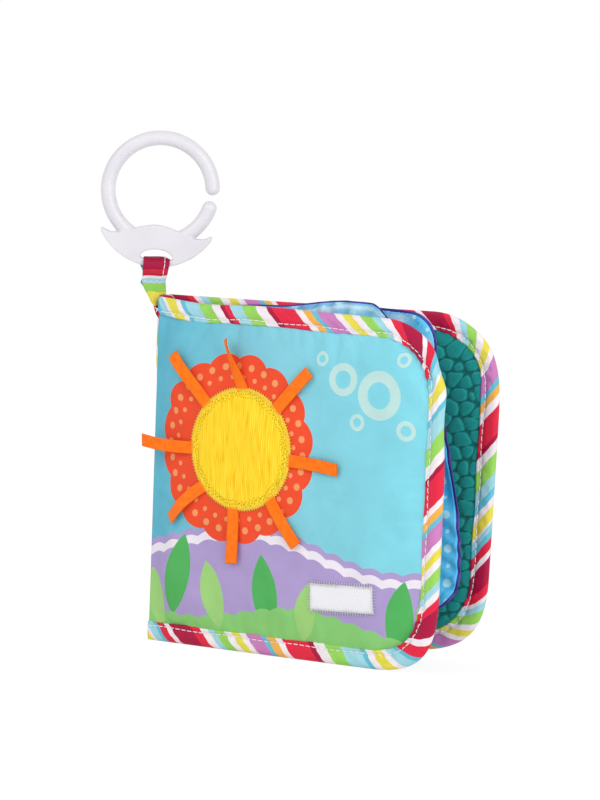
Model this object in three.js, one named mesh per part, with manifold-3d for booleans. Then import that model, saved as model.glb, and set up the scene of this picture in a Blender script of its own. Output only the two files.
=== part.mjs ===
// A soft activity book, standing a little open: two padded covers with striped binding and two crinkle
// leaves, all turning about one spine roll. The front cover has a corduroy patch with ribbon tabs round it
// and a woven label, and a link ring hangs on a strap at the head of the spine.
// Millimetres, +Z up. The spine's axis is the Z axis, the pages run along +X, and the book stands on z = 0.
import * as THREE from "three";
import { mergeVertices } from "three/addons/utils/BufferGeometryUtils.js";
import Module from "manifold-3d";

const wasm = await Module();
wasm.setup();

// Covers
const coverWidth = 172; // spine axis to free edge
const coverHeight = 170;
const cornerRadius = 36;
const faceThickness = 0.7;
const liningThickness = 0.7;
const plushThickness = 1.0; // the embossed lining of the back cover
const outerCrown = 3.4; // how far the padding lifts the face
const innerCrown = 1.7;
const crownReach = 26; // from the binding's seam to full padding

// Binding tape, folded over the covers' edges
const bindingWidth = 9.5;
const tapeThickness = 0.7;
const foldFlat = 1.1; // half the flat width along the fold
const foldBevel = 1.6;
const tapeSeat = 2.2; // from the fold to the cloth's edge

// Gaps between layers of cloth, and at the spine
const clothGap = 0.3;
const hingeGap = 0.35;
const leafGap = 0.2;

// Spine
const spineRadius = 4;
const spineWall = 0.7;
const spineBandHeight = 9.5; // the binding tape where it crosses the spine
const pinchReach = 15; // where the spine seam stops flattening the cover
const pinchShare = 0.34; // thickness that is left at the seam

// Leaves
const leafWidth = 159;
const leafBottom = 19;
const leafCorner = 18;
const leafCloth = 0.3;
const filmThickness = 0.16;
const leafSeam = 5;
const leafPuff = 0.9;
const leafPuffReach = 16;

// Patch, ribbon tabs and label on the front cover
const patchRadius = 30;
const patchX = 57.3;
const patchDrop = 70; // from the cover's top to the patch's middle
const patchThickness = 1.1;
const patchPuff = 1.3;
const ribbonWidth = 6.2;
const ribbonThickness = 0.8;
const ribbonLength = 27;
const ribbonRootGap = 1.3; // from the patch's edge to a tab's hinge
const ribbonRise = 0.4; // a tab's height above the cover at its root
const ribbonAngles = [46, 92, 135.3, 182.8, 222.8, 264.2, 308.5, 354.2]; // round the patch, from +X
const ribbonSkews = [0, 18, -4.3, -5, 0, 8, 2, 2]; // degrees that a tab turns from straight outwards
const ribbonLengthShares = [0.95, 0.88, 1.07, 0.98, 0.9, 0.92, 0.93, 1.0];
const ribbonLiftShares = [0.05, 0.12, 0.09, 0.28, 0.04, 0.06, 0.05, 0.03]; // of its length, at the tip
const labelWidth = 39;
const labelHeight = 14.4;
const labelThickness = 0.5;
const labelInset = 51.2; // from the cover's free edge to the label's middle
const labelZ = 33;
const labelRise = 0.4;
const labelLean = 2.5; // degrees

// Strap and link ring
const strapWidth = 12.4;
const strapTape = 1.1;
const strapFootWidth = 6.5;
const strapFootShift = -1.4; // sideways, from the spine's axis
const strapEyeShift = -5.4;
const strapEyeRadius = 4.2;
const strapEyeHeight = 15.2; // middle of the eye above the spine's end
const strapThroat = 6.5; // the cross seam above the spine's end
const ringRadius = 25.6; // to the middle of the bar
const ringBar = 3.65;
const ringGap = 2.9;
const ringShift = -1; // of the ring's middle from the strap's, along the bar
const ringSink = 0.25; // how far the ring's underside dips past the top of the slot
const crescentRadius = 31.8;
const crescentDepth = 7.3; // hides the ring's bar
const crescentBar = 3;
const crescentBevel = 0.6;
const crescentReachShare = 0.8585; // a tip's distance sideways, of the crescent's radius
const crescentTipX = crescentRadius * crescentReachShare;
const crescentTipWidth = 1.8;
const crescentDipShare = 0.72; // of the way out to a tip
const crescentDipRise = 13.9; // the dips and the crown above the middle of the crescent's bar
const crescentCrownRise = 19;
const slotHalfWidth = 8.2;
const slotHeight = 5.8;

// Rest pose, in degrees
const coverAngle = 8.4; // each cover from the middle plane
const leafAngles = [-4.3, 1.2];
const leafRootAngles = [-8, 6.5]; // where each leaf meets the roll
const strapYaw = 28;
const ringTilt = -3.3;
const ringGapAngle = -4;

// How the soft panels sway at their free edge, top against bottom
const coverShifts = [5, 0]; // front and back cover
const coverSways = [1.2, 6.5];
const coverLifts = [0, 4]; // how far a cover's foot rises at its free edge
const cornerPush = 9.4; // squares the covers' lower corners
const leafSways = [-4.5, -12.5];
const leafRipples = [1.2, 6.5];
const leafRippleTurns = [2.6, 2];

// The leaves' tops rise towards the middle, and the first one's corner drops behind the front cover
const leafRise = 5.8;
const leafRiseStart = 60;
const leafRiseReach = 50;
const leafDrops = [16, 0];
const leafDropStart = 121;
const leafDropReach = 22;

// Mesh steps
const cornerSteps = 5;
const barSides = 10;
const ribbonSteps = 6;
const labelSteps = 6;
const ringSteps = 36;
const crescentSteps = 16;
const slotSteps = 8;
const rollSides = 24;

const radians = THREE.MathUtils.degToRad;
const clothHalf = clothGap / 2 + plushThickness;
const bindingHalf = clothHalf + clothGap + tapeThickness;
const coverOffset = spineRadius + hingeGap + bindingHalf * pinchShare;
const leafRoot = spineRadius + hingeGap;
const leafTop = coverHeight;
const patchZ = coverHeight - patchDrop;
const labelX = coverWidth - labelInset;
const strapHemHeight = clothGap + strapTape; // middle of the strap's foot above the spine's end
// From the ring's middle down to the middle of the crescent's lower bar.
const ringDrop = ringRadius + ringBar + crescentBar / 2 + slotHeight - ringSink;

// Materials
const finish = (name, color, roughness) =>
  new THREE.MeshStandardMaterial({ name, color, roughness, metalness: 0 });
const stripedTape = finish("striped_tape", 0xe8506a, 0.9);
const printedCloth = finish("printed_cloth", 0x74c4d8, 0.88);
const batting = finish("batting", 0xf2f2ee, 0.95);
const plainLining = finish("plain_lining", 0x9fd9e6, 0.88);
const embossedPlush = finish("embossed_plush", 0x12777c, 0.95);
const blueSatin = finish("blue_satin", 0x3aa6e0, 0.4);
const violetSatin = finish("violet_satin", 0x3d2f86, 0.45);
const crinkleFilm = finish("crinkle_film", 0xdfe6ea, 0.3);
const corduroy = finish("corduroy", 0xfdd835, 0.92);
const orangeRibbon = finish("orange_ribbon", 0xff8a12, 0.5);
const wovenLabel = finish("woven_label", 0xf1f0f4, 0.8);
const whitePlastic = finish("white_plastic", 0xf0eff3, 0.35);

const clamp = (value) => THREE.MathUtils.clamp(value, 0, 1);
const ease = (t) => clamp(t) * clamp(t) * (3 - 2 * clamp(t));
const swell = (t) => 1 - (1 - clamp(t)) ** 2;

function part(name, geometry, material) {
  const mesh = new THREE.Mesh(geometry, material);
  mesh.name = name;
  return mesh;
}

function closedGeometry(points, faces) {
  const geometry = new THREE.BufferGeometry();
  geometry.setAttribute("position", new THREE.Float32BufferAttribute(points.flat(), 3));
  geometry.setIndex(faces.flat());
  return geometry;
}

// Stations on a panel's outline, from the top of the root round the free edge to the bottom of the root, and
// then up the root side. They stand closer near the root, where the spine seam flattens the panel.
const sideShares = [0, 0.035, 0.08, 0.16, 0.42, 0.7, 1];
const edgeShares = [0, 0.2, 0.4, 0.6, 0.8, 1];

function outlineStations() {
  const run = (part, shares) => shares.slice(0, -1).map((t) => ({ part, t }));
  const corner = Array.from({ length: cornerSteps + 1 }, (_, i) => i / cornerSteps);
  return [
    ...run("top", sideShares),
    ...run("topCorner", corner),
    ...run("free", edgeShares),
    ...run("bottomCorner", corner),
    ...run("bottom", sideShares.map((t) => 1 - t).reverse()),
    ...run("root", edgeShares),
  ];
}

// A station's place on the panel, drawn in from the outline by an inset.
function outlinePoint(panel, station, inset) {
  const left = panel.root + inset * panel.rootInsetShare;
  const right = panel.free - inset;
  const low = panel.bottom + inset;
  const high = panel.top - inset;
  const radius = Math.max(panel.corner - inset, 0);
  const turn = (station.t * Math.PI) / 2;
  const along = THREE.MathUtils.lerp;
  switch (station.part) {
    case "top":
      return [along(left, right - radius, station.t), high];
    case "topCorner":
      return [right - radius + radius * Math.sin(turn), high - radius + radius * Math.cos(turn)];
    case "free":
      return [right, along(high - radius, low + radius, station.t)];
    case "bottomCorner":
      return [right - radius + radius * Math.cos(turn), low + radius - radius * Math.sin(turn)];
    case "bottom":
      return [along(right - radius, left, station.t), low];
    default:
      return [left, along(low, high, station.t)];
  }
}

// A layer of cloth or padding: nested outlines at the given insets, closed by a middle point, with a near
// face and a far face whose depths depend on the inset.
function layer(panel, insets, nearDepth, farDepth) {
  const stations = outlineStations();
  const count = stations.length;
  const points = [];
  const faces = [];
  const addFace = (depth) => {
    const start = points.length;
    for (const inset of insets)
      for (const station of stations) {
        const [x, z] = outlinePoint(panel, station, inset);
        points.push(panel.place(x, depth(inset), z));
      }
    const middle = [(panel.root + panel.free) / 2, (panel.bottom + panel.top) / 2];
    const deepest = Math.min(panel.free - panel.root, panel.top - panel.bottom) / 2;
    points.push(panel.place(middle[0], depth(deepest), middle[1]));
    return start;
  };
  const near = addFace(nearDepth);
  const far = addFace(farDepth);
  const quad = (a, b, c, d, flip) =>
    flip ? faces.push([a, c, b], [a, d, c]) : faces.push([a, b, c], [a, c, d]);
  for (let ring = 0; ring + 1 < insets.length; ring++)
    for (let i = 0; i < count; i++) {
      const j = (i + 1) % count;
      const [a, b] = [ring * count + i, ring * count + j];
      quad(near + a, near + b, near + b + count, near + a + count, panel.flip);
      quad(far + a, far + b, far + b + count, far + a + count, !panel.flip);
    }
  const last = (insets.length - 1) * count;
  const middle = insets.length * count;
  for (let i = 0; i < count; i++) {
    const j = (i + 1) % count;
    const nearFan = [near + last + i, near + last + j, near + middle];
    const farFan = [far + last + j, far + last + i, far + middle];
    faces.push(panel.flip ? nearFan.reverse() : nearFan, panel.flip ? farFan.reverse() : farFan);
    quad(near + j, near + i, far + i, far + j, panel.flip);
  }
  return closedGeometry(points, faces);
}

// A closed section carried along stations, with flat ends. place turns a section point into space, and
// flip says that the section is seen from behind.
function sweep(outlined, stations, place, flip) {
  const points = [];
  const faces = [];
  const outlinedClockwise = THREE.ShapeUtils.isClockWise(outlined.map(([x, y]) => ({ x, y })));
  const section = outlinedClockwise ? [...outlined].reverse() : outlined;
  const sides = section.length;
  stations.forEach((station) => section.forEach((corner) => points.push(place(station, corner))));
  for (let s = 0; s + 1 < stations.length; s++)
    for (let i = 0; i < sides; i++) {
      const j = (i + 1) % sides;
      const [a, b] = [s * sides + i, s * sides + j];
      faces.push([a, b, b + sides], [a, b + sides, a + sides]);
    }
  const outline = section.map(([u, v]) => new THREE.Vector2(u, v));
  const end = (stations.length - 1) * sides;
  for (const [a, b, c] of THREE.ShapeUtils.triangulateShape(outline, []))
    faces.push([a, c, b], [end + a, end + b, end + c]);
  return closedGeometry(points, flip ? faces.map((face) => [...face].reverse()) : faces);
}

// Covers: side is -1 for the front cover and +1 for the back cover. Depth counts outwards from the
// cover's middle, which runs past the side of the spine, and the spine seam pinches it there.
function coverPanel(side) {
  const pinch = (x) => THREE.MathUtils.lerp(pinchShare, 1, ease(x / pinchReach));
  const index = side < 0 ? 0 : 1;
  const sway = (x, z) => {
    const height = z / coverHeight;
    return (x / coverWidth) ** 2 * (coverShifts[index] + coverSways[index] * (2 * height - 1));
  };
  const lift = (x, z) => coverLifts[index] * (x / coverWidth) ** 2 * (1 - z / coverHeight);
  const push = (x, z) => {
    const across = Math.max((x - coverWidth) / cornerRadius + 1, 0);
    const below = Math.max(1 - z / cornerRadius, 0);
    return cornerPush * (across * below) ** 2;
  };
  return {
    root: 0,
    free: coverWidth,
    bottom: 0,
    top: coverHeight,
    corner: cornerRadius,
    rootInsetShare: 0.55,
    flip: side > 0,
    place: (x, depth, z) => [
      x + push(x, z),
      side * (coverOffset + depth * pinch(x)) + sway(x, z),
      z - push(x, z) + lift(x, z),
    ],
  };
}

const crown = (inset) => swell((inset - bindingWidth) / crownReach);
const faceDepth = (inset) => clothGap / 2 + outerCrown * crown(inset);
const liningDepth = (inset) => -clothGap / 2 - innerCrown * crown(inset);
const seamStep = crownReach / 8;
const padInset = bindingWidth + seamStep;
const padInsets = [padInset, bindingWidth + crownReach / 3, bindingWidth + crownReach * 0.75];
const clothInsets = [tapeSeat, bindingWidth, ...padInsets];

function cover(side, names, linerMaterial, linerThickness) {
  const panel = coverPanel(side);
  const group = new THREE.Group();
  group.rotation.z = side * radians(coverAngle);
  group.add(
    part(
      names.face,
      layer(panel, clothInsets, faceDepth, (inset) => faceDepth(inset) + faceThickness),
      printedCloth,
    ),
    part(
      names.lining,
      layer(panel, clothInsets, (inset) => liningDepth(inset) - linerThickness, liningDepth),
      linerMaterial,
    ),
    part(
      names.padding,
      layer(
        panel,
        padInsets,
        (inset) => liningDepth(inset) + clothGap,
        (inset) => faceDepth(inset) - clothGap,
      ),
      batting,
    ),
    part(names.binding, binding(panel), stripedTape),
  );
  return group;
}

// The tape's section: distance in from the fold, and depth. The cloth's edge sits in its slot.
const tapeSection = [
  [0, -foldFlat],
  [0, foldFlat],
  [foldBevel, bindingHalf],
  [bindingWidth, bindingHalf],
  [bindingWidth, bindingHalf - tapeThickness],
  [tapeSeat - clothGap, bindingHalf - tapeThickness],
  [tapeThickness, foldFlat / 2],
  [tapeThickness, -foldFlat / 2],
  [tapeSeat - clothGap, tapeThickness - bindingHalf],
  [bindingWidth, tapeThickness - bindingHalf],
  [bindingWidth, -bindingHalf],
  [foldBevel, -bindingHalf],
];

function binding(panel) {
  const edge = { ...panel, rootInsetShare: 0 };
  const stations = outlineStations().filter((station) => station.part !== "root");
  stations.push({ part: "root", t: 0 });
  const place = (station, [inset, depth]) => {
    const foot = station.part === "root" ? { part: "bottom", t: 1 } : station;
    const [x, z] = outlinePoint(edge, foot, inset);
    return panel.place(x, depth, z);
  };
  return sweep(tapeSection, stations, place, !panel.flip);
}

// Leaves: satin in front and behind, sewn round the edge, with crinkle film between them.
function leafPanel(index) {
  const angle = radians(leafAngles[index]);
  const rootShift = leafRoot * Math.sin(radians(leafRootAngles[index]) - angle);
  const bend = (x, z) => {
    const height = (z - leafBottom) / (leafTop - leafBottom);
    const ripple = leafRipples[index] * Math.sin(leafRippleTurns[index] * Math.PI * height);
    return (x / leafWidth) ** 2 * (leafSways[index] * (2 * height - 1) + ripple);
  };
  const climb = (x, z) => {
    const height = (z - leafBottom) / (leafTop - leafBottom);
    const drop = leafDrops[index] * ease((x - leafDropStart) / leafDropReach);
    return leafRise * ease((x - leafRiseStart) / leafRiseReach) - drop * height ** 3;
  };
  return {
    root: leafRoot,
    free: leafWidth,
    bottom: leafBottom,
    top: leafTop,
    corner: leafCorner,
    rootInsetShare: 1,
    flip: true,
    place: (x, depth, z) => [x, rootShift + depth + bend(x, z), z + climb(x, z)],
  };
}

const puff = (inset) => leafPuff * swell((inset - leafSeam) / leafPuffReach);
const leafInsets = [0, leafSeam, leafSeam + leafPuffReach / 3, leafSeam + leafPuffReach * 2];
const filmInsets = leafInsets.slice(2);

function leaf(index, name) {
  const panel = leafPanel(index);
  const group = new THREE.Group();
  group.rotation.z = radians(leafAngles[index]);
  const near = (inset) => leafGap / 2 + puff(inset);
  group.add(
    part(
      name + "_front_satin",
      layer(panel, leafInsets, (inset) => -near(inset) - leafCloth, (inset) => -near(inset)),
      blueSatin,
    ),
    part(
      name + "_back_satin",
      layer(panel, leafInsets, near, (inset) => near(inset) + leafCloth),
      violetSatin,
    ),
    part(
      name + "_crinkle_film",
      layer(panel, filmInsets, () => -filmThickness / 2, () => filmThickness / 2),
      crinkleFilm,
    ),
  );
  return group;
}

// The front cover's outer surface, where the patch, the tabs and the label lie.
function frontSurface(x, z) {
  const panel = coverPanel(-1);
  const cornerX = panel.free - panel.corner;
  const cornerZ = Math.min(z, panel.top - z);
  const inCorner = x > cornerX && cornerZ < panel.corner;
  const fromEdge = inCorner
    ? panel.corner - Math.hypot(x - cornerX, panel.corner - cornerZ)
    : Math.min(panel.free - x, cornerZ);
  const inset = Math.min(fromEdge, (x - panel.root) / panel.rootInsetShare);
  return faceDepth(inset) + faceThickness;
}

const onFront = (x, rise, z) => coverPanel(-1).place(x, frontSurface(x, z) + rise, z);

function patch() {
  const ringShares = [0, 0.5, 0.85, 1];
  const turns = 28;
  const points = [];
  const faces = [];
  const height = (share) => patchThickness + patchPuff * swell((1 - share) * 3);
  const grid = (rise) => {
    const start = points.length;
    for (const share of ringShares.slice(1))
      for (let i = 0; i < turns; i++) {
        const angle = (i / turns) * 2 * Math.PI;
        const x = patchX + patchRadius * share * Math.cos(angle);
        const z = patchZ + patchRadius * share * Math.sin(angle);
        points.push(onFront(x, rise(share), z));
      }
    points.push(onFront(patchX, rise(0), patchZ));
    return start;
  };
  const low = grid(() => clothGap);
  const high = grid((share) => clothGap + height(share));
  const rings = ringShares.length - 1;
  const hub = rings * turns;
  for (let i = 0; i < turns; i++) {
    const j = (i + 1) % turns;
    for (let ring = 0; ring + 1 < rings; ring++) {
      const [a, b] = [ring * turns + i, ring * turns + j];
      faces.push([high + a, high + a + turns, high + b + turns], [high + a, high + b + turns, high + b]);
      faces.push([low + a, low + b + turns, low + a + turns], [low + a, low + b, low + b + turns]);
    }
    faces.push([high + hub, high + i, high + j], [low + hub, low + j, low + i]);
    const rim = (rings - 1) * turns;
    faces.push([high + rim + i, low + rim + i, low + rim + j]);
    faces.push([high + rim + i, low + rim + j, high + rim + j]);
  }
  return part("applique_patch", closedGeometry(points, faces), corduroy);
}

// A strip lying on the front cover. Its stations run along it, each with a centre, a direction across and a
// rise above the cover, and it is divided across so that it follows the padding.
function strip(name, stations, width, thickness, acrossSteps, material) {
  const rail = Array.from({ length: acrossSteps + 1 }, (_, i) => width * (i / acrossSteps - 1 / 2));
  const section = [...rail.map((side) => [side, 0]), ...rail.reverse().map((side) => [side, thickness])];
  const place = ({ x, z, across, rise }, [side, depth]) =>
    onFront(x + across[0] * side, rise + depth, z + across[1] * side);
  return part(name, sweep(section, stations, place, false), material);
}

function ribbon(index) {
  const angle = radians(ribbonAngles[index]);
  const run = angle + radians(ribbonSkews[index]);
  const start = patchRadius + ribbonRootGap;
  const length = ribbonLength * ribbonLengthShares[index];
  const stations = [];
  for (let i = 0; i <= ribbonSteps; i++) {
    const t = i / ribbonSteps;
    stations.push({
      x: patchX + start * Math.cos(angle) + length * t * Math.cos(run),
      z: patchZ + start * Math.sin(angle) + length * t * Math.sin(run),
      across: [-Math.sin(run), Math.cos(run)],
      rise: ribbonRise + length * ribbonLiftShares[index] * ease(t),
    });
  }
  const name = "ribbon_tab_" + (index + 1);
  return strip(name, stations, ribbonWidth, ribbonThickness, 2, orangeRibbon);
}

function label() {
  const lean = radians(labelLean);
  const stations = [];
  for (let i = 0; i <= labelSteps; i++) {
    const side = labelWidth * (i / labelSteps - 1 / 2);
    stations.push({
      x: labelX + side * Math.cos(lean),
      z: labelZ + side * Math.sin(lean),
      across: [-Math.sin(lean), Math.cos(lean)],
      rise: labelRise,
    });
  }
  return strip("woven_label", stations, labelHeight, labelThickness, 4, wovenLabel);
}

// Spine: a cloth roll round a soft core, with a band of binding tape at its head and foot.
function spine() {
  const ring = (outline) =>
    new THREE.LatheGeometry(
      outline.map(([r, z]) => new THREE.Vector2(r, z)),
      rollSides,
    ).rotateX(Math.PI / 2);
  const inner = spineRadius - spineWall;
  const tube = ring([
    [inner, spineBandHeight + clothGap],
    [spineRadius, spineBandHeight + clothGap],
    [spineRadius, coverHeight - spineBandHeight - clothGap],
    [inner, coverHeight - spineBandHeight - clothGap],
    [inner, spineBandHeight + clothGap],
  ]);
  const band = ring([
    [0, 0],
    [spineRadius, 0],
    [spineRadius, spineBandHeight],
    [inner, spineBandHeight],
    [inner, spineWall],
    [0, spineWall],
  ]);
  const core = ring([
    [0, spineWall + clothGap],
    [inner - clothGap, spineWall + clothGap],
    [inner - clothGap, coverHeight - spineWall - clothGap],
    [0, coverHeight - spineWall - clothGap],
  ]);
  const head = part("spine_band_head", band.clone(), stripedTape);
  head.rotation.x = Math.PI;
  head.position.z = coverHeight;
  return [
    part("spine_roll", tube, stripedTape),
    part("spine_core", core, batting),
    part("spine_band_foot", band, stripedTape),
    head,
  ];
}

// Strap: tape folded over the ring's bar and sewn to itself below it. It narrows and leans towards its foot,
// a rolled hem on the head of the spine, and its own origin is the middle of that hem.
function strap() {
  const outer = strapEyeRadius + strapTape;
  const eyeY = strapEyeHeight - strapHemHeight;
  const throatY = strapThroat - strapHemHeight;
  const meet = Math.acos(strapTape / outer);
  const shape = new THREE.Shape();
  shape.absarc(0, 0, strapTape, -Math.PI, 0, false);
  shape.lineTo(strapTape, throatY);
  shape.absarc(0, eyeY, outer, -meet, Math.PI + meet, false);
  shape.lineTo(-strapTape, throatY);
  shape.holes.push(new THREE.Path().absarc(0, eyeY, strapEyeRadius, 0, Math.PI * 2, true));
  const geometry = new THREE.ExtrudeGeometry(shape, {
    depth: strapWidth,
    steps: 1,
    bevelEnabled: false,
    curveSegments: 12,
  });
  geometry.translate(0, 0, -strapWidth / 2);
  const position = geometry.attributes.position;
  for (let i = 0; i < position.count; i++) {
    const share = clamp(position.getY(i) / throatY);
    const width = THREE.MathUtils.lerp(strapFootWidth / strapWidth, 1, share);
    const shift = THREE.MathUtils.lerp(strapFootShift, strapEyeShift, share);
    position.setZ(i, position.getZ(i) * width + shift);
  }
  geometry.rotateX(Math.PI / 2).rotateZ(Math.PI / 2);
  const mesh = part("hanging_strap", geometry, stripedTape);
  mesh.position.z = coverHeight + strapHemHeight;
  return mesh;
}

function toSolid(geometry) {
  const bare = geometry.clone().deleteAttribute("normal").deleteAttribute("uv");
  const merged = mergeVertices(bare, 1e-4);
  return new wasm.Manifold(
    new wasm.Mesh({
      numProp: 3,
      vertProperties: merged.attributes.position.array,
      triVerts: new Uint32Array(merged.index.array),
    }),
  );
}

function fromSolid(solid) {
  const { vertProperties, triVerts } = solid.getMesh();
  const geometry = new THREE.BufferGeometry();
  geometry.setAttribute("position", new THREE.BufferAttribute(vertProperties, 3));
  geometry.setIndex(new THREE.BufferAttribute(triVerts, 1));
  return geometry;
}

// Link ring: an open ring of round bar with rounded tips, moulded into a crescent with a slot for the strap.
function openRing() {
  const halfGap = (ringGap / 2 + ringBar) / ringRadius;
  const start = radians(ringGapAngle) + halfGap;
  const turn = Math.PI * 2 - halfGap * 2;
  const tipShares = [0.98, 0.8, 0.45]; // how far along the rounded tip each station stands
  const stations = [];
  const add = (angle, radius) => stations.push({ angle, radius });
  const tip = (share) => ringBar * Math.sqrt(1 - share * share);
  for (const share of tipShares) add(start - (share * ringBar) / ringRadius, tip(share));
  for (let i = 0; i <= ringSteps; i++) add(start + (turn * i) / ringSteps, ringBar);
  for (const share of [...tipShares].reverse())
    add(start + turn + (share * ringBar) / ringRadius, tip(share));
  const section = Array.from({ length: barSides }, (_, i) => {
    const angle = (i / barSides) * Math.PI * 2;
    return [Math.cos(angle), Math.sin(angle)];
  });
  const place = ({ angle, radius }, [u, v]) => {
    const reach = ringRadius + radius * u;
    return [reach * Math.cos(angle), radius * v, reach * Math.sin(angle)];
  };
  return sweep(section, stations, place, false);
}

// Points of an arc that opens upwards, from the left of its lowest point to the right.
function bowl(centreY, radius, halfWidth, steps) {
  const turn = Math.asin(halfWidth / radius);
  return Array.from({ length: steps + 1 }, (_, i) => {
    const angle = THREE.MathUtils.lerp(-turn, turn, i / steps);
    return new THREE.Vector2(radius * Math.sin(angle), centreY - radius * Math.cos(angle));
  });
}

function crescent() {
  const centreY = crescentRadius - ringDrop - crescentBar / 2;
  const lower = bowl(centreY, crescentRadius, crescentTipX, crescentSteps);
  const tipY = lower[0].y + crescentTipWidth;
  const upper = new THREE.SplineCurve([
    new THREE.Vector2(crescentTipX, tipY),
    new THREE.Vector2(crescentTipX * crescentDipShare, crescentDipRise - ringDrop),
    new THREE.Vector2(0, crescentCrownRise - ringDrop),
    new THREE.Vector2(-crescentTipX * crescentDipShare, crescentDipRise - ringDrop),
    new THREE.Vector2(-crescentTipX, tipY),
  ]).getPoints(crescentSteps);
  const slotFloor = bowl(centreY, crescentRadius - crescentBar, slotHalfWidth, slotSteps);
  const shoulder = slotFloor[0].y;
  const rise = slotHeight - (shoulder + ringDrop - crescentBar / 2);
  const arch = Array.from({ length: slotSteps - 1 }, (_, i) => {
    const angle = ((i + 1) / slotSteps) * Math.PI;
    return new THREE.Vector2(slotHalfWidth * Math.cos(angle), shoulder + rise * Math.sin(angle));
  });
  const shape = new THREE.Shape([...lower, ...upper]);
  // The slot stays in line with the strap.
  const aligned = [...slotFloor, ...arch].map((point) => new THREE.Vector2(point.x - ringShift, point.y));
  shape.holes.push(new THREE.Path(aligned));
  const geometry = new THREE.ExtrudeGeometry(shape, {
    depth: crescentDepth - 2 * crescentBevel,
    steps: 1,
    bevelThickness: crescentBevel,
    bevelSize: crescentBevel,
    bevelOffset: -crescentBevel,
    bevelSegments: 2,
  });
  return geometry.translate(0, 0, crescentBevel - crescentDepth / 2).rotateX(Math.PI / 2);
}

function linkRing() {
  const solid = toSolid(openRing()).add(toSolid(crescent()));
  const geometry = fromSolid(solid).translate(ringShift, 0, ringDrop).rotateY(-radians(ringTilt));
  const mesh = part("link_ring", geometry, whitePlastic);
  mesh.position.set(strapEyeShift, 0, coverHeight + strapEyeHeight);
  return mesh;
}

const book = new THREE.Group();
const front = cover(
  -1,
  {
    face: "front_cover_face",
    lining: "front_cover_lining",
    padding: "front_cover_padding",
    binding: "front_cover_binding",
  },
  plainLining,
  liningThickness,
);
front.add(patch(), label());
ribbonAngles.forEach((_, index) => front.add(ribbon(index)));
const back = cover(
  1,
  {
    face: "back_cover_face",
    lining: "back_cover_plush_lining",
    padding: "back_cover_padding",
    binding: "back_cover_binding",
  },
  embossedPlush,
  plushThickness,
);
const hanger = new THREE.Group();
hanger.rotation.z = radians(strapYaw);
hanger.add(strap(), linkRing());
book.add(front, back, leaf(0, "leaf_1"), leaf(1, "leaf_2"), ...spine(), hanger);

export default book;
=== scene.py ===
# A soft activity book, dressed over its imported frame: printed padded covers in striped bias binding, satin
# leaves, a corduroy disc with ribbon tabs, a bare woven label, and a white link ring on a strap of tape.
# Sizes are millimetres and degrees unless a name says otherwise, and Blender works in metres.
import math

import bmesh
import bpy
import numpy as np
from mathutils import Matrix, Vector, noise
from mathutils.bvhtree import BVHTree


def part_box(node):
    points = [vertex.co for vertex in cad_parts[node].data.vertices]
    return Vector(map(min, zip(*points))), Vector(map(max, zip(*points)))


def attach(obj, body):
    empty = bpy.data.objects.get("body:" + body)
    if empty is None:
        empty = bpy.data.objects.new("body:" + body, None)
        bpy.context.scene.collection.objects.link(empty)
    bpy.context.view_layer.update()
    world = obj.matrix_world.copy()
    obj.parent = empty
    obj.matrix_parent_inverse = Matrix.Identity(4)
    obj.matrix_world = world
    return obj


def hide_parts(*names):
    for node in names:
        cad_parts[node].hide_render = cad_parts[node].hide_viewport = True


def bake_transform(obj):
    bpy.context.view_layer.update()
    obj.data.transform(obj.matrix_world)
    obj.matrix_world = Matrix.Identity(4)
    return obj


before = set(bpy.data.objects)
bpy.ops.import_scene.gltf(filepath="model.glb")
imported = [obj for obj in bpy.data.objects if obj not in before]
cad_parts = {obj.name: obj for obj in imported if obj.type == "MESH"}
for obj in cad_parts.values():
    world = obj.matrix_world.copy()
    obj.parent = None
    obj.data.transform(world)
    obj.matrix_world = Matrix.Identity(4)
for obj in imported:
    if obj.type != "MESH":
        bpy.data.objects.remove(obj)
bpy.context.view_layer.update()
scene = bpy.context.scene
mm = 0.001

# Helpers for meshes and materials


def linear(colour):  # "#rrggbb" as written in a paint program, to the values that Blender mixes
    shares = [int(colour[i : i + 2], 16) / 255 for i in (1, 3, 5)]
    curve = [s / 12.92 if s <= 0.04045 else ((s + 0.055) / 1.055) ** 2.4 for s in shares]
    return (*curve, 1)


def add(tree, kind, inputs=None, stops=None, **settings):
    made = tree.nodes.new("ShaderNode" + kind)
    for name, value in settings.items():
        setattr(made, name, value)
    for name, value in (inputs or {}).items():
        if isinstance(value, bpy.types.NodeSocket):
            tree.links.new(value, made.inputs[name])
        else:
            made.inputs[name].default_value = value
    for i, (place, colour) in enumerate(stops or []):
        ramp = made.color_ramp.elements
        stop = ramp[i] if i < 2 and i < len(ramp) else ramp.new(place)
        stop.position = place
        stop.color = linear(colour)
    return made


def newMaterial(name, sockets):
    made = bpy.data.materials.new(name)
    made.use_nodes = True
    shader = made.node_tree.nodes["Principled BSDF"]
    for socket, value in sockets.items():
        shader.inputs[socket].default_value = value
    return made, made.node_tree, shader


def noisy(tree, place, scale, detail):
    return add(tree, "TexNoise", {"Vector": place, "Scale": scale, "Detail": detail}).outputs[0]


def painted(tree, field):  # what paint() has left on the mesh
    return add(tree, "Attribute", attribute_name=field).outputs["Fac"]


def reckon(tree, operation, *values, **settings):
    return add(tree, "Math", dict(enumerate(values)), operation=operation, **settings).outputs[0]


def mixIn(tree, share, colour, other):
    return add(tree, "Mix", {0: share, 6: colour, 7: linear(other)}, data_type="RGBA").outputs[2]


def printOn(tree, field, sharpness, colour, ink):  # the ink's edge is 1 / sharpness millimetres wide
    cover = reckon(tree, "MULTIPLY_ADD", painted(tree, field), sharpness, 0.5, use_clamp=True)
    return mixIn(tree, cover, colour, ink)


def tint(tree, shader, value, stops):
    ramp = add(tree, "ValToRGB", {0: value}, stops)
    tree.links.new(ramp.outputs[0], shader.inputs["Base Color"])


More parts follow.
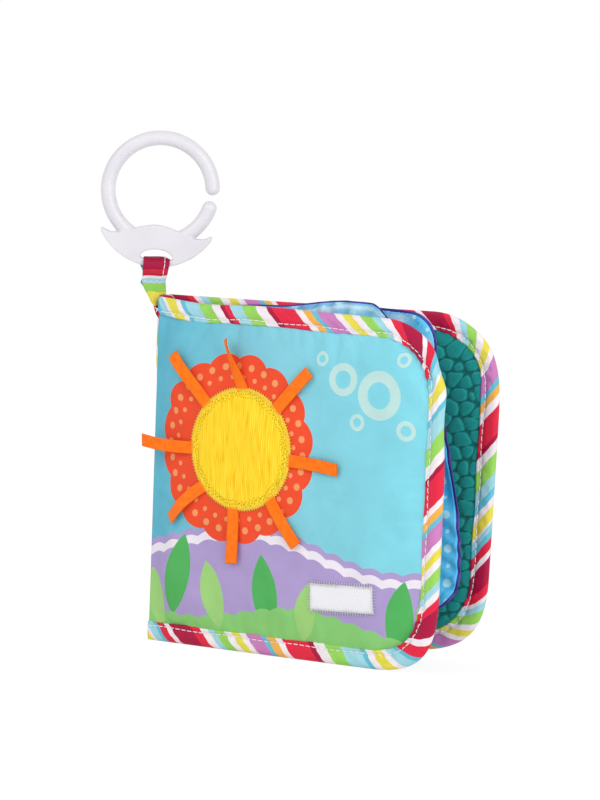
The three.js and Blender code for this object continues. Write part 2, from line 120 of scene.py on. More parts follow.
def mottle(tree, shader, patchy, low, high, colour):  # the cloth's tone varies softly from place to place
    tone = add(tree, "MapRange", {0: patchy, 1: 0.3, 2: 0.7, 3: low, 4: high})
    shade = add(tree, "HueSaturation", {"Value": tone.outputs[0], "Color": colour})
    tree.links.new(shade.outputs[0], shader.inputs["Base Color"])


def emboss(tree, shader, height, depth):  # depth in millimetres
    bump = add(tree, "Bump", {"Height": height, "Distance": depth * mm})
    tree.links.new(bump.outputs[0], shader.inputs["Normal"])


def clothMap(tree):
    return add(tree, "UVMap", uv_map="cloth").outputs[0]


def objectMap(tree):
    return add(tree, "TexCoord").outputs["Object"]


def ribs(tree, place, axis, spacing):  # a wave across the cloth, one rise to each thread
    along = add(tree, "SeparateXYZ", {0: place}).outputs[axis]
    return reckon(tree, "SINE", reckon(tree, "MULTIPLY", along, 2 * math.pi / spacing))


def weaveBump(tree, shader, spacing, depth):
    place = clothMap(tree)
    crossed = reckon(tree, "MULTIPLY", ribs(tree, place, 0, spacing), ribs(tree, place, 1, spacing))
    emboss(tree, shader, reckon(tree, "MULTIPLY_ADD", noisy(tree, place, 0.9, 3), 3.0, crossed), depth)
    return place


def clamp(value):
    return np.clip(value, 0, 1)


def ease(t):
    return clamp(t) ** 2 * (3 - 2 * clamp(t))


def swell(t):
    return 1 - (1 - clamp(t)) ** 2


def bell(t):
    return np.exp(-(t**2))


def unitGrid(columns, rows):  # a flat grid, and how far across and up it each point is, 0 to 1
    grid = bmesh.new()
    bmesh.ops.create_grid(grid, x_segments=columns, y_segments=rows, size=0.5)
    shares = np.array([vertex.co[:2] for vertex in grid.verts]) + 0.5
    return grid, shares[:, 0], shares[:, 1]


def turned(x, y, z, degrees):  # about the spine's axis, then to metres
    angle = math.radians(degrees)
    across = x * math.cos(angle) - y * math.sin(angle)
    along = x * math.sin(angle) + y * math.cos(angle)
    return np.stack([across, along, z + 0 * across], axis=-1) * mm


def makePiece(name, mesh, material, body, replaced=()):  # a piece with no body is left without a parent
    data = bpy.data.meshes.new(name)
    mesh.to_mesh(data)
    mesh.free()
    data.shade_smooth()
    data.materials.append(material)
    piece = bpy.data.objects.new(name, data)
    scene.collection.objects.link(piece)
    if body:
        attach(piece, body)
    if replaced:
        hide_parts(*replaced)
    return piece


def shapeSheet(grid, points, outward, texture=None):
    for vertex, point in zip(grid.verts, points):
        vertex.co = point
    grid.normal_update()
    facing = sum((face.normal * face.calc_area() for face in grid.faces), Vector()).dot(Vector(outward))
    if facing < 0:
        bmesh.ops.reverse_faces(grid, faces=grid.faces)
    if texture is not None:
        layer = grid.loops.layers.uv.new("cloth")
        for face in grid.faces:
            for loop in face.loops:
                loop[layer].uv = texture[loop.vert.index]
    return grid


def faceUp(grid):  # a folded tape is turned so that its topmost face looks up
    grid.normal_update()
    top = max(grid.faces, key=lambda face: face.calc_center_median().z)
    if top.normal.z < 0:
        bmesh.ops.reverse_faces(grid, faces=grid.faces)


def thicken(piece, thickness, offset=-1):
    wall = piece.modifiers.new("cloth thickness", "SOLIDIFY")
    wall.thickness = thickness * mm
    wall.offset = offset
    wall.use_even_offset = False


def refine(piece):
    surface = piece.modifiers.new("smooth cloth", "SUBSURF")
    surface.levels = 1
    surface.render_levels = 1


def bake(piece):  # applies what modifiers the piece has
    graph = bpy.context.evaluated_depsgraph_get()
    data = bpy.data.meshes.new_from_object(piece.evaluated_get(graph))
    piece.modifiers.clear()
    piece.data = data


def clothPlace(piece):  # each vertex's place in the cloth, from its texture map
    data = piece.data
    corners = np.zeros(len(data.loops) * 2, np.float32)
    data.uv_layers["cloth"].data.foreach_get("uv", corners)
    owners = np.zeros(len(data.loops), np.int32)
    data.loops.foreach_get("vertex_index", owners)
    places = np.zeros((len(data.vertices), 2))
    places[owners] = corners.reshape(-1, 2)
    return places[:, 0], places[:, 1]


def paint(piece, fields):  # a float for each vertex, for a printed form the millimetres inside its edge
    for name, values in fields.items():
        layer = piece.data.attributes.new(name, "FLOAT", "POINT")
        layer.data.foreach_set("value", np.asarray(values, np.float32))


def threads(name, strokes, thickness, material, body, closed=False):
    curve = bpy.data.curves.new(name, "CURVE")
    curve.dimensions = "3D"
    curve.bevel_depth = thickness / 2 * mm
    curve.bevel_resolution = 1
    curve.use_fill_caps = True
    for stroke in strokes:
        spline = curve.splines.new("POLY")
        spline.points.add(len(stroke) - 1)
        spline.points.foreach_set("co", [value for point in stroke for value in (*point, 1)])
        spline.use_cyclic_u = closed
    holder = bpy.data.objects.new(name, curve)
    scene.collection.objects.link(holder)
    graph = bpy.context.evaluated_depsgraph_get()
    data = bpy.data.meshes.new_from_object(holder.evaluated_get(graph))
    bpy.data.objects.remove(holder)
    mesh = bmesh.new()
    mesh.from_mesh(data)
    bmesh.ops.remove_doubles(mesh, verts=mesh.verts, dist=1e-7)
    bmesh.ops.recalc_face_normals(mesh, faces=mesh.faces)
    makePiece(name, mesh, material, body)


def unevenness(x, z, spacing, seed):  # soft hand-made variation, about -0.5 to 0.5
    return np.array([noise.noise(Vector((a / spacing, b / spacing, seed))) for a, b in zip(x, z)])


# Camera, at the photograph's angle

view = {
    "azimuth": 28.5,
    "elevation": 6,
    "roll": 1.95,
    "distance": 4000,
    "pixelsPerMm": 2.051,
    "target": (70, 0, 85),
    "targetPixel": (285, 479),
    "imagePixels": (600, 800),
    "sensor": 36,
}


def makeCamera():
    azimuth, elevation, roll = (math.radians(view[k]) for k in ("azimuth", "elevation", "roll"))
    right = Vector((math.cos(azimuth), math.sin(azimuth), 0))
    back = Vector((math.sin(azimuth), -math.cos(azimuth), 0)) * math.cos(elevation)
    back.z = math.sin(elevation)
    up = back.cross(right)
    across = right * math.cos(roll) + up * math.sin(roll)
    upwards = up * math.cos(roll) - right * math.sin(roll)
    width, height = view["imagePixels"]
    asideMm = (width / 2 - view["targetPixel"][0]) / view["pixelsPerMm"]
    aboveMm = (view["targetPixel"][1] - height / 2) / view["pixelsPerMm"]
    place = Vector(view["target"]) + back * view["distance"] + across * asideMm + upwards * aboveMm
    data = bpy.data.cameras.new("camera")
    data.sensor_width = view["sensor"]
    data.lens = view["sensor"] * view["distance"] * view["pixelsPerMm"] / max(width, height)
    data.clip_end = 30
    camera = bpy.data.objects.new("camera", data)
    scene.collection.objects.link(camera)
    rotation = np.array([across, upwards, back]).T
    camera.matrix_world = Matrix([[*rotation[i], place[i] * mm] for i in range(3)] + [[0, 0, 0, 1]])
    scene.camera = camera


makeCamera()
print("camera set")

# The book's shape, as the frame has it

front, back = -1, 1
words = {front: "front", back: "back"}
book = {
    "coverWidth": 172,
    "coverHeight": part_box("spine_band_head")[1].z / mm,
    "cornerRadius": 36,
    "cornerPush": 9.4,  # draws the lower corners out
    "rootInsetShare": 0.55,
    "coverAngle": 8.4,
    "shifts": {front: 5, back: 0},  # how far each free edge stands back
    "sways": {front: 1.2, back: 6.5},
    "lifts": {front: 0, back: 7.8},
    "topSags": {front: 1.8, back: 0},
    "sagX": 28,
    "sagReach": 22,
    "spineRadius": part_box("spine_roll")[1].x / mm,
    "hingeGap": 0.35,
    "pinchReach": 15,
    "pinchShare": 0.34,
    "bindingHalf": 2.15,
    "bindingWidth": 9.5,
    "clothGap": 0.3,
    "outerCrown": 3.4,
    "innerCrown": 1.7,
    "crownReach": 26,
    "faceThickness": 0.7,
    "drawnThickness": 0.3,  # thinner than the seam holds, so that the pinched root stays closed
    "tapeSeat": 2.2,
}
coverPanel = {
    "root": 0,
    "free": book["coverWidth"],
    "bottom": 0,
    "top": book["coverHeight"],
    "corner": book["cornerRadius"],
    "rootInsetShare": book["rootInsetShare"],
}
facePanel = {**coverPanel, "root": -0.9}  # the printed cloth laps a little round the spine
coverOffset = book["spineRadius"] + book["hingeGap"] + book["bindingHalf"] * book["pinchShare"]


def coverPoint(side, x, depth, z):  # depth counts outwards from the cover's middle
    width, height, corner = book["coverWidth"], book["coverHeight"], book["cornerRadius"]
    pinch = book["pinchShare"] + (1 - book["pinchShare"]) * ease(x / book["pinchReach"])
    bend = (x / width) ** 2
    sway = bend * (book["shifts"][side] + book["sways"][side] * (2 * z / height - 1))
    lift = bend * book["lifts"][side] * (1 - z / height)
    drawn = np.maximum((x - width) / corner + 1, 0) * np.maximum(1 - z / corner, 0)
    push = book["cornerPush"] * drawn**2
    sag = book["topSags"][side] * bell((x - book["sagX"]) / book["sagReach"]) * clamp(z / height) ** 3
    across = side * (coverOffset + depth * pinch) + sway
    return turned(x + push, across, z - push + lift - sag, side * book["coverAngle"])


def outwardOf(side):
    angle = math.radians(side * book["coverAngle"])
    return Vector((-math.sin(angle), math.cos(angle), 0)) * side


def panelGrid(panel, inset, columns, rows, roundness):
    grid, across, up = unitGrid(columns, rows)
    low = panel["bottom"] + inset
    high = panel["top"] - inset
    closer = 0.5 - 0.5 * np.cos(np.pi * up)  # rows stand closer at the ends, so that the corners are round
    z = low + (high - low) * (up + roundness * (closer - up))
    radius = panel["corner"] - inset
    lack = np.clip(radius - np.minimum(z - low, high - z), 0, radius)
    right = panel["free"] - inset - radius + np.sqrt(radius**2 - lack**2)
    left = panel["root"] + inset * panel["rootInsetShare"]
    return grid, left + (right - left) * across, z


def insetOf(panel, x, z):
    cornerX = panel["free"] - panel["corner"]
    fromEnd = np.minimum(z - panel["bottom"], panel["top"] - z)
    round_ = panel["corner"] - np.hypot(x - cornerX, panel["corner"] - fromEnd)
    straight = np.minimum(panel["free"] - x, fromEnd)
    fromEdge = np.where((x > cornerX) & (fromEnd < panel["corner"]), round_, straight)
    return np.minimum(fromEdge, (x - panel["root"]) / panel["rootInsetShare"])


def panelArea(panel, inset):  # width, height and area in metres, less the two round corners
    width = panel["free"] - panel["root"] - inset * (1 + panel["rootInsetShare"])
    height = panel["top"] - panel["bottom"] - 2 * inset
    lost = 2 * (1 - math.pi / 4) * (panel["corner"] - inset) ** 2
    return width * mm, height * mm, (width * height - lost) * mm * mm


def crown(inset):
    return swell((inset - book["bindingWidth"]) / book["crownReach"])


def faceDepth(x, z):  # the outer surface of a cover's face
    lift = book["outerCrown"] * crown(insetOf(coverPanel, x, z))
    return book["clothGap"] / 2 + lift + book["faceThickness"]


def foldRise(x, z, folds):  # soft ridges, and hollows below zero, from one point to another
    rise = np.zeros_like(x)
    for x0, z0, x1, z1, width, height in folds:
        length2 = (x1 - x0) ** 2 + (z1 - z0) ** 2
        share = clamp(((x - x0) * (x1 - x0) + (z - z0) * (z1 - z0)) / length2)
        away = np.hypot(x - x0 - share * (x1 - x0), z - z0 - share * (z1 - z0))
        taper = np.sin(np.pi * (0.12 + 0.76 * share))
        rise += height * taper * bell(away / width)
    return rise


# Printed cloth: polyester with a soft printed design, lightly brushed, so it is matt with a fine weave

printInks = {
    # the sky's darker colour at the spine is painted shade
    "skyRootPaintedShade": "#64bad1",
    "skyMiddle": "#87d0e1",
    "skyFree": "#84d7e6",
    "lilac": "#b19fd2",
    "white": "#f1eaf4",
    "green": "#8ccf78",
    "leafDark": "#55b560",
    "leafLight": "#a3d67f",
    "bubble": "#bfe2de",
    "petals": "#f4512f",
    "petalDots": "#f8a068",
}
# The sky is painted darker towards the spine and lightens towards the free edge: painted shade where the
# cover rounds into the spine.
rootShadeReach = (4, 150)  # between which distances from the root the sky's colour changes
weave = {"thread": 0.5, "depth": 0.05}  # real threads are 0.25 mm apart, drawn coarser so that they show


def printedCloth(name, layers):
    made, tree, shader = newMaterial(name, {"Roughness": 0.8, "Specular IOR Level": 0.2})
    place = weaveBump(tree, shader, weave["thread"], weave["depth"])
    across = add(tree, "SeparateXYZ", {0: place}).outputs[0]
    share = add(tree, "MapRange", {0: across, 1: rootShadeReach[0], 2: rootShadeReach[1]})
    sky = [(0, printInks["skyRootPaintedShade"]), (0.5, printInks["skyMiddle"]), (1, printInks["skyFree"])]
    colour = add(tree, "ValToRGB", {0: share.outputs[0]}, sky).outputs[0]
    for field, ink in layers:
        colour = printOn(tree, field, 6, colour, printInks[ink])
    mottle(tree, shader, noisy(tree, place, 0.06, 4), 0.94, 1.04, colour)
    return made


def disc(x, z, centreX, centreZ, radius):
    return radius - np.hypot(x - centreX, z - centreZ)


def leafForm(x, z, centreX, centreZ, length, width, lean):  # two arcs that meet in points
    angle = math.radians(lean)
    across = (x - centreX) * math.cos(angle) - (z - centreZ) * math.sin(angle)
    along = (x - centreX) * math.sin(angle) + (z - centreZ) * math.cos(angle)
    arc = (length**2 + width**2) / (4 * width)
    return arc - np.hypot(np.abs(across) + arc - width / 2, along)


def highest(forms):
    return np.max(np.array(list(forms)), axis=0)


frontPrint = {  # bubbles as x, z, radius, and leaves as x, z, length, width, lean
    "medallion": {"centre": (53.5, 100), "radius": 43.7, "scallop": 3.2, "count": 16},
    "dotRings": [(40.5, 1.75, 32, 0), (35.2, 1.25, 32, 0.5)],  # ring's radius, dot's radius, count, shift
    "bubbles": [
        (116, 139, 8), (137, 133, 12), (152, 117, 5), (125, 119, 4.2), (149, 151, 3.6), (103, 148, 3.6),
    ],
    "farHill": {"height": 55, "swing": 8, "turn": 27, "start": 22},
    "nearHill": {"height": 19, "swing": 5, "turn": 22, "start": 60},
    "darkLeaves": [(21, 35, 42, 15, 12), (74, 30, 40, 15, -8), (152, 26, 38, 14, 10)],
    "lightLeaves": [(42, 27, 34, 13, -12), (98, 24, 30, 12, 9), (166, 22, 30, 12, -9), (5, 22, 30, 12, -14)],
}
backPrint = {
    "bubbles": [
        (40, 132, 9), (62, 118, 5), (88, 140, 12), (112, 121, 6), (134, 136, 8), (24, 108, 4), (146, 108, 4),
    ],
    "farHill": {"height": 66, "swing": 9, "turn": 30, "start": 75},
    "nearHill": {"height": 27, "swing": 6, "turn": 24, "start": 10},
    "darkLeaves": [(32, 44, 44, 16, -9), (92, 40, 46, 17, 8), (140, 36, 38, 14, -6)],
    "lightLeaves": [(58, 34, 36, 14, 10), (116, 32, 34, 13, -10), (12, 30, 32, 13, 8)],
}


def hill(x, z, form):
    top = form["height"] + form["swing"] * np.sin((x - form["start"]) / form["turn"])
    return top + 1.6 * np.abs(np.sin(x * math.pi / 11)) - z  # with a scalloped edge


def printFields(x, z, design):
    near = hill(x, z, design["nearHill"])
    far = hill(x, z, design["farHill"])
    fields = {
        "bubbles": highest(disc(x, z, *b) for b in design["bubbles"]),
        "bubbleHearts": highest(disc(x, z, b[0], b[1], b[2] * 0.55) for b in design["bubbles"]),
        "farHill": far,
        "farBand": np.minimum(far - 3.2, 7.4 - far),
        "nearHill": near,
        "darkLeaves": highest(leafForm(x, z, *leaf) for leaf in design["darkLeaves"]),
        "lightLeaves": highest(leafForm(x, z, *leaf) for leaf in design["lightLeaves"]),
    }
    if "medallion" in design:
        form = design["medallion"]
        away = np.hypot(x - form["centre"][0], z - form["centre"][1])
        angle = np.arctan2(z - form["centre"][1], x - form["centre"][0])
        edge = form["radius"] + form["scallop"] * np.abs(np.sin(angle * form["count"] / 2)) ** 0.7
        fields["petals"] = edge - away
        dots = np.full_like(x, -9.0)
        for radius, size, count, shift in design["dotRings"]:
            step = 2 * math.pi / count
            nearest = (np.round(angle / step - shift) + shift) * step
            dotX = form["centre"][0] + radius * np.cos(nearest)
            dotZ = form["centre"][1] + radius * np.sin(nearest)
            dots = np.maximum(dots, disc(x, z, dotX, dotZ, size))
        fields["petalDots"] = dots
    return fields


printLayers = [
    ("bubbles", "bubble"),
    ("bubbleHearts", "skyFree"),
    ("farHill", "lilac"),
    ("farBand", "white"),
    ("darkLeaves", "leafDark"),
    ("nearHill", "green"),
    ("lightLeaves", "leafLight"),
]
medallionLayers = [("petals", "petals"), ("petalDots", "petalDots")]

# Covers: a simulated face of printed cloth over wadding, and a lining

coverCloth = {
    "cell": 1.7,
    "frames": 22,
    "pressure": 1.1,
    "slack": 0.016,  # share by which the cloth is larger than the place that it is sewn into
    "sinkCap": 0.7,
    "swellCap": 1.3,
    "billows": [(1.2, 42, 0), (0.5, 15, 5)],  # height, spacing, seed
    "frontFolds": [  # x and z of both ends, width, height
        (-4, 29, 13, 50, 1.7, -1.3), (-4, 35, 11, 56, 2.8, 0.6), (34, 162, 24, 146, 2.3, -1.0),
        (50, 162, 50.5, 153, 1.8, -0.9), (43, 162, 42, 146, 3.4, 0.7), (47, 150, 52, 130, 4.5, -0.7),
        (121, 162, 124, 144, 3.2, -0.6), (163, 120, 140, 104, 4, -0.5), (163, 60, 146, 66, 3.5, -0.4),
        (70, 8, 76, 24, 3, -0.5), (112, 8, 108, 22, 3, -0.4),
    ],
    "backFolds": [
        (-2, 150, 26, 128, 3, 0.8), (-2, 30, 28, 44, 3, 0.7), (60, 161, 64, 142, 3, -0.6),
        (110, 8, 104, 26, 3, -0.6), (163, 90, 144, 84, 4, -0.5),
    ],
}


def settleCloth(piece, pinned, outward):
    # Works on a copy ten times as large, where Blender's cloth is steady.
    rest = np.array([vertex.co for vertex in piece.data.vertices])
    large = piece.copy()
    large.data = piece.data.copy()
    large.parent = None
    large.data.vertices.foreach_set("co", (rest * 10).ravel())
    scene.collection.objects.link(large)
    seam = large.vertex_groups.new(name="seam")
    seam.add([int(i) for i in np.nonzero(pinned)[0]], 1, "REPLACE")
    cloth = large.modifiers.new("cloth", "CLOTH")
    cloth.settings.quality = 5
    cloth.settings.mass = 0.25
    cloth.settings.bending_stiffness = 0.6
    cloth.settings.vertex_group_mass = "seam"
    cloth.settings.use_pressure = True
    cloth.settings.uniform_pressure_force = coverCloth["pressure"]
    cloth.settings.shrink_min = -coverCloth["slack"]
    cloth.settings.effector_weights.gravity = 0
    cloth.collision_settings.use_collision = False
    cloth.point_cache.frame_end = coverCloth["frames"]
    for number in range(1, coverCloth["frames"] + 1):
        scene.frame_set(number)
    graph = bpy.context.evaluated_depsgraph_get()
    settled = large.evaluated_get(graph).data
    moved = np.array([vertex.co for vertex in settled.vertices]) / 10 - rest
    scene.frame_set(1)
    bpy.data.objects.remove(large)
    along = moved @ np.array(outward)
    kept = np.clip(along, -coverCloth["sinkCap"] * mm, coverCloth["swellCap"] * mm)
    print("cloth settled from", round(along.min() / mm, 2), "to", round(along.max() / mm, 2), "mm")
    piece.data.vertices.foreach_set("co", (rest + kept[:, None] * np.array(outward)).ravel())


def makeFace(side, material, design, folds):
    name = words[side] + "Face"
    body = words[side] + "_cover"
    inset = book["tapeSeat"]
    count = round(book["coverHeight"] / coverCloth["cell"])
    grid, x, z = panelGrid(facePanel, inset, count, count, 0.25)
    fade = ease((insetOf(coverPanel, x, z) - book["bindingWidth"]) / 8)
    depth = faceDepth(x, z)
    depth = depth + foldRise(x, z, folds) * clamp(fade * 2 + 0.15)
    for height, spacing, seed in coverCloth["billows"]:
        depth = depth + fade * height * unevenness(x, z, spacing, side + seed)
    shapeSheet(grid, coverPoint(side, x, depth, z), outwardOf(side), np.stack([x, z], 1))
    piece = makePiece(name, grid, material, body, [body + "_face"])
    sewn = insetOf(coverPanel, x, z) < book["bindingWidth"] - 1
    settleCloth(piece, sewn, outwardOf(side))
    refine(piece)
    bake(piece)
    paint(piece, printFields(*clothPlace(piece), design))
    thicken(piece, book["drawnThickness"])
    width, height, area = panelArea(coverPanel, inset)
    return piece


wadding = {"inset": 3, "outerDepth": 0.2, "innerDepth": 0.3, "flatter": 1.8, "cells": 40}


def makeWadding(side):
    body = words[side] + "_cover"
    inset = book["bindingWidth"] + wadding["inset"]
    mesh = bmesh.new()
    for depth, height, outward in (
        (wadding["outerDepth"], book["outerCrown"] - wadding["flatter"], outwardOf(side)),
        (wadding["innerDepth"], -book["innerCrown"], -outwardOf(side)),
    ):
        grid, x, z = panelGrid(coverPanel, inset, wadding["cells"], wadding["cells"], 0.25)
        layerDepth = depth + height * crown(insetOf(coverPanel, x, z))
        shapeSheet(grid, coverPoint(side, x, layerDepth, z), outward)
        layer = bpy.data.meshes.new("wadding layer")
        grid.to_mesh(layer)
        grid.free()
        mesh.from_mesh(layer)
        bpy.data.meshes.remove(layer)
    bmesh.ops.bridge_loops(mesh, edges=[edge for edge in mesh.edges if edge.is_boundary])
    bmesh.ops.recalc_face_normals(mesh, faces=mesh.faces)
    piece = makePiece(words[side] + "Face_wadding", mesh, batting, body, [body + "_padding"])


def makeBatting():
    # Polyester wadding, carded into a loose white fleece.
    made, tree, shader = newMaterial("polyesterWadding", {"Roughness": 0.95, "Sheen Weight": 0.3})
    fleece = noisy(tree, objectMap(tree), 900, 5)
    tint(tree, shader, fleece, [(0.3, "#e9e8e2"), (0.7, "#faf9f5")])
    emboss(tree, shader, fleece, 0.5)
    return made


batting = makeBatting()
frontCloth = printedCloth("printedPolyesterFront", printLayers + medallionLayers)
backCloth = printedCloth("printedPolyesterBack", printLayers)
makeWadding(front)
makeWadding(back)
frontFace = makeFace(front, frontCloth, frontPrint, coverCloth["frontFolds"])
makeFace(back, backCloth, backPrint, coverCloth["backFolds"])
print("cover faces made")

# Linings: plain brushed cloth in the front cover, and embossed plush in the back cover

lining = {
    "frontThickness": 0.7,
    "plushThickness": 1.0,
    "billows": [(0.8, 38, 3), (0.3, 14, 8)],  # height, spacing, seed
    "plainCell": 2.4,
    "plushCell": 0.9,
    "pebbleSpacing": 7.2,
    "pebbleFlatness": 1.25,  # pebbles lie wider than they are tall
    "pebbleHeight": 1.2,
    "grooveWidth": 0.9,
    "cornerSharpness": 1.5,
    "seed": 11,
    "batch": 4000,  # points looked at together, to keep memory small
}


def plainLining():
    # Brushed polyester, dyed pale: matt, with a faint nap.
    made, tree, shader = newMaterial("brushedPolyesterLining", {"Roughness": 0.85, "Sheen Weight": 0.15})
    place = weaveBump(tree, shader, weave["thread"], weave["depth"])
    tint(tree, shader, noisy(tree, place, 0.08, 4), [(0.3, "#93d3e3"), (0.7, "#a8dfea")])
    return made


def embossedPlush():
    # Short-pile plush pressed with a pebble pattern: velvety, with painted shade in grooves, painted
    # highlight on rims.
    sockets = {"Roughness": 0.9, "Specular IOR Level": 0.2, "Sheen Weight": 0.12}
    made, tree, shader = newMaterial("embossedPolyesterPlush", sockets)
    place = clothMap(tree)
    mixed = reckon(tree, "MULTIPLY_ADD", noisy(tree, place, 1.6, 4), 0.4, painted(tree, "pebbleShadeHeight"))
    # Painted shade and highlight: dark in the grooves, pale on the rims, mid on the tops.
    stops = [(0.16, "#0a5e5c"), (0.36, "#137c78"), (0.54, "#239b95"), (0.7, "#178c88"), (0.9, "#138380")]
    tint(tree, shader, reckon(tree, "MULTIPLY", mixed, 0.72), stops)
    emboss(tree, shader, noisy(tree, place, 2.6, 3), 0.16)
    return made


def pebbles(x, z):  # rounded cells with narrow grooves, 0 in a groove and 1 on top
    random = np.random.default_rng(lining["seed"])
    step = lining["pebbleSpacing"]
    columns = int(book["coverWidth"] / step) + 4
    rows = int(book["coverHeight"] / step) + 4
    seedX, seedZ = np.meshgrid(np.arange(-2, columns) * step, np.arange(-2, rows) * step)
    seedX = seedX + (np.arange(seedX.shape[0]) % 2)[:, None] * step / 2
    centres = np.stack([seedX.ravel(), seedZ.ravel()], 1)
    centres = centres + random.uniform(-0.3, 0.3, centres.shape) * step
    reach = random.uniform(-1.2, 1.2, len(centres))  # some pebbles are larger than their neighbours
    tall = lining["pebbleFlatness"]
    warpedX = x + 1.2 * unevenness(x, z, 14, 41)
    warpedZ = (z + 1.2 * unevenness(x, z, 14, 57)) * tall
    top = np.zeros_like(x)
    for start in range(0, len(x), lining["batch"]):
        part = slice(start, start + lining["batch"])
        away = np.hypot(warpedX[part, None] - centres[:, 0], warpedZ[part, None] - centres[:, 1] * tall)
        nearest = np.partition(away - reach[None, :], (1, 2), axis=1)[:, :3]
        fromNext, fromThird = (nearest[:, 1:] - nearest[:, :1]).T / 2
        # A soft minimum of the two rounds the corners where three pebbles meet.
        sharpness = lining["cornerSharpness"]
        deep = -np.log(np.exp(-sharpness * fromNext) + np.exp(-sharpness * fromThird)) / sharpness
        top[part] = 0.6 * ease(deep / lining["grooveWidth"]) + 0.4 * swell(deep / 3.4)
    return top


def makeLining(side, name, material, thickness, replaced):
    plush = side == back
    inset = book["tapeSeat"]
    count = round(book["coverHeight"] / lining["plushCell" if plush else "plainCell"])
    grid, x, z = panelGrid(coverPanel, inset, count, count, 0.2)
    fade = ease((insetOf(coverPanel, x, z) - book["bindingWidth"] + 2) / 6)
    depth = -book["clothGap"] / 2 - book["innerCrown"] * crown(insetOf(coverPanel, x, z)) - thickness
    for rise, spacing, seed in lining["billows"]:
        depth = depth - fade * rise * unevenness(x, z, spacing, seed)
    height = pebbles(x, z) if plush else np.zeros_like(x)
    depth = depth - fade * height * lining["pebbleHeight"]
    shapeSheet(grid, coverPoint(side, x, depth, z), -outwardOf(side), np.stack([x, z], 1))
    piece = makePiece(name, grid, material, words[side] + "_cover", [replaced])
    if plush:
        # the pebbles' height, for the painted shade and highlight
        paint(piece, {"pebbleShadeHeight": height})
    thicken(piece, book["drawnThickness"])


thin, thick = lining["frontThickness"], lining["plushThickness"]
makeLining(front, "frontLining", plainLining(), thin, "front_cover_lining")
makeLining(back, "plushLining", embossedPlush(), thick, "back_cover_plush_lining")
print("linings made")

# Binding: striped satin bias tape folded over the edges and sewn through

tape = {
    "reach": 10.7,  # from the fold to the hem, along the tape
    "thickness": 0.6,
    "seamInset": 7.2,
    "puff": 0.4,
    "pull": 0.6,  # how deep the seam draws the tape in, more towards each stitch's end
    "pullSwing": 0.25,
    "hemDrop": 0.75,
    "wavePitch": 8.3,
    "waveDepth": 0.2,
    "pleatPitch": 7.1,  # the hem's small pleats round the corners
    "pleatDepth": 0.34,
    "slants": {  # how the stripes lean, at places along the tape
        front: [
            (0, 0.8), (56, 0.8), (72, 1.15), (150, 1.35), (215, 1.1), (300, 1.1), (335, 0.8), (380, 0.8),
            (420, 1),
        ],
        back: [(0, 1), (160, 1.05), (200, 1.2), (483, 1.2)],
    },
    "along": 400,
    "across": 34,
    "stitch": 3.1,
    "stitchPitch": 3.6,
    "thread": 0.5,
    "cutShare": 0.93,  # of its flat rectangle, since the corners are eased
    "dents": {  # place along the edge, depth, reach
        front: [(178, 2.2, 8), (204, 1.5, 16)],
        back: [(356, 0.8, 10), (184, 1.2, 13), (160, 0.7, 12)],
    },
}
inks = {
    "yellow": "#e8dc4c",
    "white": "#f3e9ee",
    "teal": "#62bfd6",
    "pale": "#9fd6e2",
    "green": "#98d45c",
    "crimson": "#ae003e",
    "red": "#e61f42",
    "orange": "#f3b04a",
    "orchid": "#cb7ebb",
}
stripes = [  # widths along the tape's edge, one repeat of the print
    (7.6, "yellow"), (3.8, "white"), (3.0, "teal"), (9.9, "pale"), (8.3, "green"), (6.8, "white"),
    (3.8, "crimson"), (15.9, "red"), (3.0, "white"), (3.8, "orange"), (3.0, "teal"), (8.6, "orchid"),
    (4.6, "white"), (5.3, "yellow"), (4.6, "white"), (6.1, "green"), (4.6, "pale"), (4.6, "white"),
    (5.3, "red"), (12.1, "crimson"), (3.8, "white"), (9.1, "red"), (3.8, "teal"), (6.1, "pale"),
    (2.8, "white"),
]
# Where the print stands along each tape: millimetres from the tape's start, against millimetres of print.
frontPrintRun = [
    (0, -5.8), (0.9, -2.8), (3.2, 0), (10, 7.6), (12.6, 11.4), (15.6, 14.4), (24.2, 24.3), (32.1, 32.6),
    (39.6, 43.2), (43.1, 46.6), (43.15, 19), (50.2, 24.3), (58.5, 32.6), (81.5, 59.1), (86.3, 62.1),
    (104.2, 77.5),
    (126.1, 98.1), (143.7, 112.6), (161.5, 128.5), (168.1, 137.6), (172.6, 141.4), (186.9, 157.9),
    (195.4, 164.7), (215.3, 182.9), (238.5, 209.4), (242.5, 212.4), (259, 227.8), (272.5, 242.3),
    (283.8, 253), (292.6, 262.9), (304.9, 275), (310, 278.8), (320.2, 291.7), (326.4, 297.8),
    (331.3, 300.6), (338.2, 308.2), (345.4, 315), (366.4, 333.2), (391, 359.7), (399.7, 366.5),
    (411.5, 378.1), (434.7, 403.3), (458.7, 425.3), (462.3, 429.1), (467.1, 438.2), (469.7, 442),
    (474.7, 448.1), (483, 456.4),
]
backPrintRun = [
    (0, 275.5), (15.1, 253), (25.9, 242.3), (34.7, 232.4), (139.9, 112.6), (143.9, 107.3), (176.1, 77.5),
    (191.1, 65.9), (195.1, 62.1), (201, 59.1), (224.8, 32.6), (235.6, 24.3), (242.6, 14.4), (247.8, 11.4),
    (259.2, 0), (264.2, -8.9), (268.8, -12.7), (274, -21.8), (297, -43), (299.4, -47.6), (310.6, -58.3),
    (322.9, -72.8), (483, -232.8),
]


